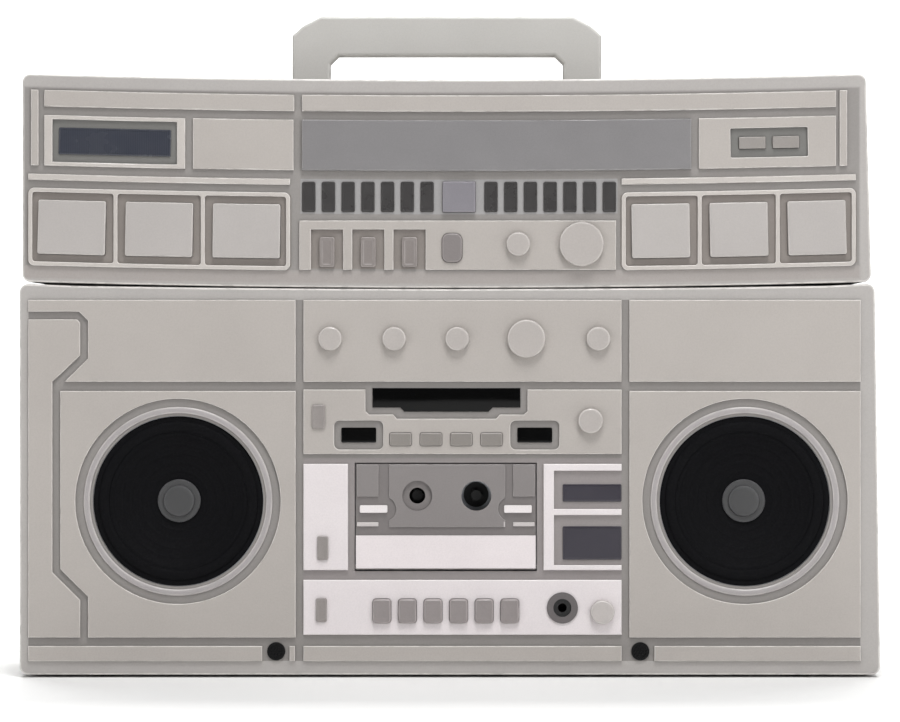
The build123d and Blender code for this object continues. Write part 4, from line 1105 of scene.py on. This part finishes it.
@dataclass
class Speakers:
    """Two full-range speakers: ring, rubber surround, pressed cone and dust cap."""

    ring_outer: float = 68.0 * MM
    ring_inner: float = 63.4 * MM
    lip: float = 61.0 * MM
    seat: float = 1.6 * MM
    wall: float = 1.0 * MM
    roll_centre: float = 7.5 * MM       # inwards from the lip
    roll_radius: float = 4.0 * MM
    roll_rise: float = 1.55 * MM
    slope_start: float = 12.0 * MM      # inwards from the lip
    slope_end: float = 16.5 * MM
    ribs: int = 5
    rib_rise: float = 0.28 * MM
    flare: float = 0.12                 # how far the slope bellies out, as a share of its depth
    cap_radius: float = 15.5 * MM
    cap_step: float = 11.6 * MM

    def cone_section(self, front: float, floor: float) -> Profile:
        """Loop of the cone's section, with a roll at its edge and pressed ribs down its slope.

        Args:
            front: level of the front of the lip.
            floor: level of the foot of the slope.

        Returns:
            Radius and level of each point.
        """
        seat = front + self.seat
        face = [(self.lip, seat + self.wall), (self.lip, seat), (self.lip - 3.2 * MM, seat)]
        for i in range(13):
            turn = math.pi * i / 12
            face.append((self.lip - self.roll_centre + self.roll_radius * math.cos(turn),
                         seat - self.roll_rise * math.sin(turn)))
        start = self.lip - self.slope_start
        for i in range(61):
            along = i / 60
            belly = seat + (floor - seat) * (along + self.flare * math.sin(math.pi * along))
            rib = self.rib_rise * max(0.0, math.sin(2 * math.pi * self.ribs * along)) ** 2
            face.append((start + (self.slope_end - start) * along, belly - rib))
        face += [(12.0 * MM, floor), (1.0 * MM, floor)]
        return face + [(radius, level + self.wall) for radius, level in reversed(face[2:])]

    def ring_section(self, base: float, rise: float) -> Profile:
        """Loop of the trim ring's section: a half round on a flat back.

        Args:
            base: level of its back.
            rise: how far it stands out.

        Returns:
            Radius and level of each point.
        """
        half = (self.ring_outer - self.ring_inner) / 2
        turns = [math.pi * i / 12 for i in range(13)]
        bead = [(self.ring_inner + half - half * math.cos(t), base - rise * (0.35 + 0.65 * math.sin(t)))
                for t in turns]
        return [(self.ring_outer, base), (self.ring_inner, base)] + bead

    def cap_profile(self, floor: float, front: float) -> Profile:
        """Outline of the dust cap: a rounded flange with a low dome.

        Args:
            floor: level of the foot of the cone.
            front: level of the dome's top.

        Returns:
            Radius and level of each point.
        """
        step = floor - (floor - front) * 0.45
        flange = [(0.0, 0.8), (0.6, 0.1), (1.5, 0.0), (3.1, 0.3)]
        dome = [(0.2, 1.6), (0.8, 0.6), (2.0, 0.15), (4.1, 0.0)]
        return ([(0.0, floor + 0.2 * MM), (self.cap_radius, floor + 0.2 * MM)]
                + [(self.cap_radius - inset * MM, step + drop * MM) for inset, drop in flange]
                + [(self.cap_step, step + 0.2 * MM)]
                + [(self.cap_step - inset * MM, front + drop * MM) for inset, drop in dome] + [(0.0, front)])

    def build(self) -> None:
        """Make both speakers from the places of their CAD rings, cones and caps."""
        rings, cones, caps = [sorted(solid_boxes(f"speaker_{part}"), key=lambda b: b[0].x)
                              for part in ("rings", "cones", "caps")]
        ring_finish = MouldedPlastic("satin_moulded_abs_ring", "a19c9c", rim_wear_and_highlight_tone="c9c4c2",
                                     roughness=0.46).build()
        cap_finish = MouldedPlastic("grey_moulded_polypropylene_cap", "3c3c3d", rim_wear_and_highlight_tone="5d5d5f", roughness=0.5,
                                    grain_depth_mm=0.06).build()
        for side, ring, cone, cap in zip(("left", "right"), rings, cones, caps):
            middle = middle_of(ring)
            centre = (middle.x, middle.z)
            section = self.ring_section(ring[1].y, ring[1].y - ring[0].y)
            trim = Turned(f"{side}_speaker_ring", centre, section, loop=True, segments=128)
            install(trim.build(ring_finish), "cabinet", Slot.CABINET, "speaker_rings")
            axis = (middle.x, 0.0, middle.z)
            paper = PressedPaper(f"pressed_black_paper_{side}_cone", "050508", axis).build()
            section = self.cone_section(cone[0].y, cap[1].y)
            piece = Turned(f"{side}_speaker_cone", centre, section, loop=True, segments=128).build(paper)
            install(piece, "cabinet", Slot.CONE, "speaker_cones")
            profile = self.cap_profile(cap[1].y, cap[0].y)
            piece = Turned(f"{side}_dust_cap", centre, profile, segments=72).build(cap_finish)
            install(piece, "cabinet", Slot.GREY, "speaker_caps")


@dataclass
class PushKey:
    """A push key: dished cap with a rounded edge, straight skirt and retaining flange."""

    corner: float
    dish: float
    edge: float
    tilted: bool
    flange: float = 1.5 * MM
    flange_thickness: float = 2.0 * MM

    def build(self, node: str, material: Finish, slot: Slot) -> None:
        """Make the key in its CAD box and put it on its body.

        Args:
            node: the key's CAD node and body.
            material: its finish.
            slot: its material slot.
        """
        low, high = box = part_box(node)
        middle = middle_of(box)
        turn = BOW.turn(middle.x) if self.tilted else 0.0
        corner = self.corner + self.flange
        across, tall = upright_size(box, 2 * corner, turn)
        shoulder = high.y - self.flange_thickness
        profile = [(0.0, high.y), (0.0, shoulder), (self.flange, shoulder), (self.flange, low.y + self.edge)]
        profile += [(self.flange + inset, low.y + drop) for inset, drop in quarter_round(self.edge, 4)]
        inner = self.flange + self.edge
        reach = min(across, tall) / 2 - inner - 0.2 * MM
        for i in range(1, 7):
            profile.append((inner + reach * i / 6, low.y + self.dish * (1 - (1 - i / 6) ** 2)))
        piece = Slab(f"{node}_cap", (middle.x, middle.z), across, tall, corner, profile, turn).build(material)
        install(piece, node, slot, node)


@dataclass
class Keys:
    """All push keys and buttons."""

    preset: str = "ada8a5"
    band: str = "7e7b81"
    mode: str = "7d7776"
    display: str = "8e8985"
    counter: str = "837e79"
    tape: str = "8b8483"

    def build(self) -> None:
        """Make every key."""
        kinds = (
            ("satin_moulded_abs_preset_key", self.preset, "cfcbc7", 0.46, Slot.CABINET,
             PushKey(1.5 * MM, 0.5 * MM, 1.0 * MM, True), [f"preset_key_{n}" for n in range(1, 7)]),
            ("lilac_grey_moulded_abs_key", self.band, "a7a3aa", 0.42, Slot.LILAC,
             PushKey(1.0 * MM, 0.25 * MM, 0.7 * MM, False), ["band_key"]),
            ("grey_moulded_abs_mode_button", self.mode, "a39c9b", 0.44, Slot.KEY,
             PushKey(5.0 * MM, 0.2 * MM, 1.2 * MM, False), ["mode_button"]),
            ("grey_moulded_abs_display_button", self.display, "a9a4a1", 0.44, Slot.KEY,
             PushKey(0.8 * MM, 0.1 * MM, 0.7 * MM, True), ["display_button_1", "display_button_2"]),
            ("pale_grey_moulded_abs_counter_button", self.counter, "aea9a5", 0.46, Slot.CABINET,
             PushKey(1.5 * MM, 0.2 * MM, 1.0 * MM, False), [f"counter_button_{n}" for n in range(1, 5)]),
            ("warm_grey_moulded_abs_tape_key", self.tape, "aea6a5", 0.44, Slot.KEY,
             PushKey(2.5 * MM, 0.45 * MM, 1.4 * MM, False),
             [f"{use}_key" for use in ("record", "play", "rewind", "forward", "stop", "pause")]),
        )
        for name, tone, rim_wear_and_highlight_tone, roughness, slot, key, nodes in kinds:
            finish = MouldedPlastic(name, tone, rim_wear_and_highlight_tone=rim_wear_and_highlight_tone, roughness=roughness).build()
            for node in nodes:
                key.build(node, finish, slot)


@dataclass
class Knobs:
    """All turning knobs: rounded rim, shallow dished top, shaft and clip."""

    edge: float = 1.5 * MM
    dish: float = 0.35 * MM
    shaft: float = 3.0 * MM
    clip: float = 2.0 * MM              # width and thickness of the clip behind the panel
    skirt: float = 5.2 * MM
    names: tuple[str, ...] = ("fine_tuning", "tuning", "microphone", "bass", "treble", "volume", "balance",
                              "record_level", "headphone")

    def knob(self, node: str, material: Finish) -> None:
        """Make one knob in its CAD box and put it on its body.

        Args:
            node: the knob's CAD node and body.
            material: its finish.
        """
        low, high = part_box(node)
        middle, radius = middle_of((low, high)), (high.x - low.x) / 2
        behind, skirt = high.y - self.clip, low.y + self.skirt
        profile = [(0.0, high.y), (self.shaft + self.clip, high.y), (self.shaft + self.clip, behind),
                   (self.shaft, behind), (self.shaft, skirt), (radius - 0.5 * MM, skirt),
                   (radius, skirt - 0.5 * MM), (radius, low.y + self.edge)]
        profile += [(radius - inset - 0.1 * MM, low.y + drop) for inset, drop in quarter_round(self.edge, 6)]
        inner = radius - self.edge - 0.6 * MM
        for i in range(9):
            profile.append((inner * (1 - i / 8), low.y + self.dish * math.sin(math.pi / 2 * i / 8)))
        piece = Turned(f"{node}_cap", (middle.x, middle.z), profile, segments=72).build(material)
        install(piece, node, Slot.CABINET, node)

    def build(self) -> None:
        """Make every knob."""
        finish = MouldedPlastic("satin_moulded_abs_knob", "ada7a3", rim_wear_and_highlight_tone="d0cbc7", roughness=0.42).build()
        pale = MouldedPlastic("white_moulded_abs_knob", "b7b1ae", rim_wear_and_highlight_tone="d5d0cd", roughness=0.42).build()
        for name in self.names:
            self.knob(f"{name}_knob", pale if name == "headphone" else finish)


@dataclass
class Switches:
    """Tone levers and deck switches: finger buttons with a hollow pressed into their face."""

    stem: tuple[float, float] = (1.5 * MM, 2.5 * MM)    # half sizes
    clip: float = 2.0 * MM
    corner: float = 1.5 * MM
    edge: float = 0.9 * MM

    def button(self, node: str, thickness: float, hollow: float, material: Finish) -> None:
        """Make one button with its stem and clip, and put it on its body.

        Args:
            node: its CAD node and body.
            thickness: of the button in front of the panel.
            hollow: depth of the finger hollow.
            material: its finish.
        """
        low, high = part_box(node)
        middle, half = middle_of((low, high)), ((high.x - low.x) / 2, (high.z - low.z) / 2)
        clip = (self.stem[0] + self.clip, self.stem[1] + self.clip)
        neck, behind = high.y - self.clip, low.y + thickness
        levels = [(clip, high.y), (clip, neck), (self.stem, neck), (self.stem, behind), (half, behind),
                  (half, low.y + self.edge)]
        draws = list(quarter_round(self.edge, 4))
        draws += [(1.5 * MM, 0.0), (2.0 * MM, hollow * 0.7), (2.6 * MM, hollow), (half[0] - 0.3 * MM, hollow)]
        levels += [((half[0] - inset, half[1] - inset), low.y + drop) for inset, drop in draws]
        rings = []
        for (w, h), level in levels:
            outline = rounded_outline(2 * w, 2 * h, min(self.corner, w * 0.6))
            rings.append([Vector((middle.x + x, level, middle.z + z)) for x, z in outline])
        install(finish_mesh(f"{node}_button", *stacked_rings(rings), material), node, Slot.KEY, node)

    def build(self) -> None:
        """Make every lever and switch."""
        lever = MouldedPlastic("warm_grey_moulded_abs_lever", "817a77", rim_wear_and_highlight_tone="b3aca9", roughness=0.44,
                               rim_wear_and_highlight_share=0.6)
        switch = MouldedPlastic("grey_moulded_abs_switch", "8c8683", rim_wear_and_highlight_tone="a6a09d", roughness=0.46)
        lever_finish, switch_finish = lever.build(), switch.build()
        for number in (1, 2, 3):
            self.button(f"tone_lever_{number}", 3.1 * MM, 0.5 * MM, lever_finish)
        for name in ("counter_switch", "tape_switch", "noise_switch"):
            self.button(name, 1.7 * MM, 0.25 * MM, switch_finish)


@dataclass
class CassetteDeck:
    """Door with the cassette relief, and the mechanism behind it."""

    rise: float = 2.5 * MM              # of the strip and clips over the door's base
    strip_top: float = 25.3 * MM        # heights over the door's foot
    clip_heights: tuple[float, float] = (41.0 * MM, 47.0 * MM)
    ledge_heights: tuple[float, float] = (31.0 * MM, 34.8 * MM)
    clip_reach: float = 25.5 * MM
    plate_tone: str = "817c7b"
    strip_tone: str = "e0d8d9"
    clip_tone: str = "e3dddd"
    ledge_tone: str = "c3bdbc"

    def door_finish(self) -> Finish:
        """Grey door with white strip and clips and pale ledges, moulded in two shots.

        Returns:
            The material.
        """
        low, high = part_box("cassette_door")
        front, base = low.y - MM, low.y + self.rise
        near = base - 0.3 * MM
        zones = [Zone((low.x, front, low.z + self.strip_top - 0.3 * MM), (high.x, base - 0.7 * MM, high.z),
                      self.plate_tone),
                 Zone((low.x, front, low.z), (high.x, near, low.z + self.strip_top), self.strip_tone)]
        strips = ((self.clip_heights, self.clip_tone), (self.ledge_heights, self.ledge_tone))
        for start, end in ((low.x, low.x + self.clip_reach), (high.x - self.clip_reach, high.x)):
            for (foot, top), tone in strips:
                zones.append(Zone((start, front, low.z + foot), (end, near, low.z + top), tone))
        return MouldedPlastic("two_shot_moulded_abs_door", "767170", rim_wear_and_highlight_tone="b7b2b1", roughness=0.44,
                              zones=tuple(zones)).build()

    def dress(self) -> None:
        """Finish the door and the mechanism, which keep their CAD shape."""
        middle = middle_of(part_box("capstan_flywheel"))
        axis = (middle.x, 0.0, middle.z)
        reel = MouldedPlastic("black_moulded_acetal_spindle", "0a0a0b", rim_wear_and_highlight_tone="1e1e20", roughness=0.45,
                              gloss=0.3)
        finishes = {
            "deck_chassis": PlatedMetal("zinc_plated_pressed_steel_chassis", "b4b6ba", "9c9ea3"),
            "head_bridge": PlatedMetal("bright_plated_steel_bridge", "c3c4c6", "a9abae", 0.28),
            "capstan_flywheel": PlatedMetal("turned_brass_flywheel", "b99b62", "a58752", 0.25, axis),
            "deck_motor": PlatedMetal("drawn_zinc_plated_steel_motor_can", "a9abb0", "94969b", 0.38, axis),
        }
        dress("cassette_door", self.door_finish())
        for node, finish in finishes.items():
            dress(node, finish.build())
        reel_finish = reel.build()
        dress("supply_spindle", reel_finish)
        dress("takeup_spindle", reel_finish)


@dataclass
class Fittings:
    """Sockets, microphones, feet, screws, battery cover, speaker frames and circuit board."""

    head_height: float = 3.0 * MM
    board_thickness: float = 1.6 * MM
    socket_face: float = 0.8 * MM       # depth of a socket's ring over the painted shade in its bore
    hinge_pin: float = 2.0 * MM
    cover_corner: float = 1.2 * MM
    cover_sunk: float = 0.6 * MM        # the ribs of the grip stand no higher than the cabinet's back
    border: float = 8.0 * MM
    grip_width: float = 46.0 * MM
    rib_count: int = 9
    rib_pitch: float = 3.0 * MM

    def screws(self, tree: Repeater) -> None:
        """Seat the six cabinet screws in their towers.

        Args:
            tree: tree that makes screws on points.
        """
        finish = PlatedMetal("black_zinc_plated_steel_screw", "3c3d40", "2c2d30", 0.3).build()
        points = []
        for box in solid_boxes("cabinet_screws"):
            middle = middle_of(box)
            points.append(Vector((middle.x, box[1].y - self.head_height / 2, middle.z)))
        piece = tree.make("cross_recess_screws", points, Head_Radius=3.8 * MM, Head_Height=self.head_height,
                          Slot_Width=0.9 * MM, Slot_Length=4.2 * MM, Slot_Depth=3.6 * MM,
                          Shank_Radius=1.9 * MM, Shank_Length=26.0 * MM, Finish=finish)
        install(piece, "cabinet", Slot.STEEL, "cabinet_screws")

    def microphones(self, tree: Repeater) -> None:
        """Drill and seat the two microphone plugs.

        Args:
            tree: tree that makes drilled plugs on points.
        """
        # painted shade: the plug is near black so that it stands for the shade inside the microphone opening
        finish = MouldedPlastic("black_moulded_abs_microphone", "040405", rim_wear_and_highlight_tone="121214", roughness=0.5,
                                gloss=0.2).build()
        boxes = solid_boxes("microphones")
        size = boxes[0][1] - boxes[0][0]
        points = [middle_of(box) for box in boxes]
        piece = tree.make("microphone_plugs", points, Radius=size.x / 2, Depth=size.y,
                          Hole_Radius=0.55 * MM, Inner_Ring=2.1 * MM, Outer_Ring=4.2 * MM, Finish=finish)
        install(piece, "cabinet", Slot.BLACK, "microphones")

    def battery_cover(self, row: Repeater) -> None:
        """Make the cover: a plate with a ribbed thumb grip near its free edge.

        Args:
            row: tree that repeats a piece.
        """
        low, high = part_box("battery_cover")
        middle = middle_of((low, high))
        finish = MouldedPlastic("satin_moulded_abs_battery_cover", "a6a39f", rim_wear_and_highlight_tone="c4c1bd",
                                roughness=0.56).build()
        face = high.y - self.cover_sunk
        plate = [(0.0, low.y), (0.0, face - 0.5 * MM), (0.15 * MM, face - 0.15 * MM), (0.5 * MM, face),
                 (self.border, face), (self.border + 0.4 * MM, face - 0.4 * MM)]
        cover = Slab("battery_cover_plate", (middle.x, middle.z), high.x - low.x - 2 * self.hinge_pin,
                     high.z - low.z, self.cover_corner, plate)
        install(cover.build(finish), "battery_cover", Slot.CABINET, "battery_cover")
        section = [(0.0, 0.0), (0.0, 0.5 * MM), (0.2 * MM, 0.85 * MM), (0.45 * MM, 0.99 * MM)]
        rib = Slab("rib_master", (0, 0), self.grip_width, 1.5 * MM, 0.7 * MM, section).build(finish)
        foot = high.z - 12 * MM - (self.rib_count - 1) * self.rib_pitch
        grip = row.make("battery_cover_grip", [], Piece=rib, Count=self.rib_count,
                        Start=(middle.x, face - 0.4 * MM, foot), Step=(0.0, 0.0, self.rib_pitch),
                        Finish=finish)
        bpy.data.objects.remove(rib)
        install(grip, "battery_cover", Slot.CABINET)

    def dress(self) -> None:
        """Finish what keeps its CAD shape."""
        # painted shade: the inside of each socket's bore, behind its front ring, is coloured near black
        bore_shades = []
        for low, high in solid_boxes("jack_sockets"):
            inset = Vector((1, 0, 1)) * (high.x - low.x) * 0.2
            ahead = low.y < 0
            front = Vector((0, self.socket_face if ahead else 0.0, 0))
            back = Vector((0, 0.0 if ahead else self.socket_face, 0))
            bore_shades.append(Zone(tuple(low + inset + front), tuple(high - inset - back), "050505"))
        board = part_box("circuit_board")[0].y + self.board_thickness
        finishes = {
            "jack_sockets": MouldedPlastic("dark_grey_moulded_abs_socket", "625d5d", rim_wear_and_highlight_tone="817b7a",
                                           roughness=0.4, zones=tuple(bore_shades)),
            "rubber_feet": MouldedRubber("moulded_black_rubber_foot", "1c1b1b"),
            "speaker_frames": PlatedMetal("zinc_plated_pressed_steel_basket", "a7a9ad", "8e9094"),
            "circuit_board": CircuitLaminate("solder_masked_glass_laminate", "1f5234", "1a1a1c", board),
        }
        for node, finish in finishes.items():
            dress(node, finish.build())


@dataclass
class Studio:
    """Pale sweep, soft lights and a level camera straight in front."""

    half_width: float = 8.0
    front_end: float = -8.0
    curve_start: float = 5.0
    curve_radius: float = 1.0
    wall_top: float = 6.0
    distance: float = 2.5
    view_width: float = 648.0 * MM
    view_height: float = 228.0 * MM
    sensor: float = 36.0

    def sweep(self) -> None:
        """Make the floor of matt white paint, rolled on in soft clouds, which curves up into a backdrop."""
        paint, add, point = open_material("matt_painted_studio_sweep")
        clouds = add(NOISE, {0: point, 2: per_mm(300.0), 3: 2.0, 4: 0.55})
        nap = add(NOISE, {0: point, 2: per_mm(40.0), 3: 3.0, 4: 0.55})
        drift = add(SPREAD, {0: clouds, 1: 0.3, 2: 0.7, 3: 0.0, 4: 0.06})
        tone = add(MIX, {0: drift, 6: srgb("fcfcfb"), 7: srgb("f6f5f3")})
        rough = add(SPREAD, {0: nap, 1: 0.3, 2: 0.7, 3: 0.85, 4: 0.95})
        end_material(add, {"Base Color": tone, "Roughness": rough})
        turns = [math.radians(degrees) for degrees in range(6, 91, 6)]
        start, radius = self.curve_start, self.curve_radius
        path = [(self.front_end, 0.0), (start, 0.0)]
        path += [(start + radius * math.sin(t), radius - radius * math.cos(t)) for t in turns]
        path += [(start + radius, self.wall_top)]
        mesh = bpy.data.meshes.new("studio_sweep")
        mesh.from_pydata([(x, y, z) for y, z in path for x in (-self.half_width, self.half_width)], [],
                         [[2 * i, 2 * i + 1, 2 * i + 3, 2 * i + 2] for i in range(len(path) - 1)])
        mesh.shade_smooth()
        mesh.materials.append(paint)
        sweep = bpy.data.objects.new("studio_sweep", mesh)
        bpy.context.scene.collection.objects.link(sweep)

    def lamp(self, name: str, place: Sequence[float], aim: Sequence[float], size: float,
             power: float) -> None:
        """Hang one square soft light and point it.

        Args:
            name: its name.
            place: where it hangs.
            aim: the point that it faces.
            size: length of its sides.
            power: in watts.
        """
        data = bpy.data.lights.new(name, "AREA")
        data.shape, data.size, data.energy = "SQUARE", size, power
        lamp = bpy.data.objects.new(name, data)
        lamp.location = place
        lamp.rotation_euler = (Vector(aim) - Vector(place)).to_track_quat("-Z", "Y").to_euler()
        bpy.context.scene.collection.objects.link(lamp)

    def camera(self) -> None:
        """Set up the camera, square to the front."""
        data = bpy.data.cameras.new("front_camera")
        data.sensor_width = self.sensor
        data.lens = self.sensor * self.distance / self.view_width
        data.clip_end = 50.0
        camera = bpy.data.objects.new("front_camera", data)
        camera.location = (0.0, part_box("speaker_rings")[1].y - self.distance, self.view_height)
        camera.rotation_euler = (math.radians(90), 0, 0)
        bpy.context.scene.collection.objects.link(camera)
        bpy.context.scene.camera = camera

    def build(self) -> None:
        """Make the whole studio."""
        self.sweep()
        self.lamp("overhead_softbox", (0.2, -1.3, 2.2), (0.0, -0.05, 0.2), 1.0, 38.0)
        self.lamp("right_front_softbox", (1.5, -2.1, 0.9), (0.0, 0.0, 0.2), 1.2, 14.5)
        self.lamp("left_front_softbox", (-1.8, -2.0, 0.6), (0.0, 0.0, 0.2), 1.2, 7.5)
        self.lamp("backdrop_softbox", (0.0, 2.6, 4.0), (0.0, 4.6, 0.0), 3.5, 330.0)
        world = bpy.data.worlds.new("pale_room")
        world.use_nodes = True
        air = world.node_tree.nodes["Background"].inputs
        air["Color"].default_value, air["Strength"].default_value = srgb("f3f4f6"), 0.2
        bpy.context.scene.world = world
        bpy.context.scene.view_settings.view_transform = "Standard"
        self.camera()
        log.info("studio is ready")


def main() -> None:
    """Build every sub-assembly in order."""
    logging.basicConfig(level=logging.INFO, format="%(name)s: %(message)s")
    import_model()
    Studio().build()
    row, screw, grille = row_tree(), screw_tree(), grille_tree()
    Cabinet().dress()
    Windows().build()
    LevelBars().build(row)
    Speakers().build()
    Keys().build()
    Knobs().build()
    Switches().build()
    CassetteDeck().dress()
    fittings = Fittings()
    fittings.screws(screw)
    fittings.microphones(grille)
    fittings.battery_cover(row)
    fittings.dress()


if __name__ == "__main__":
    main()
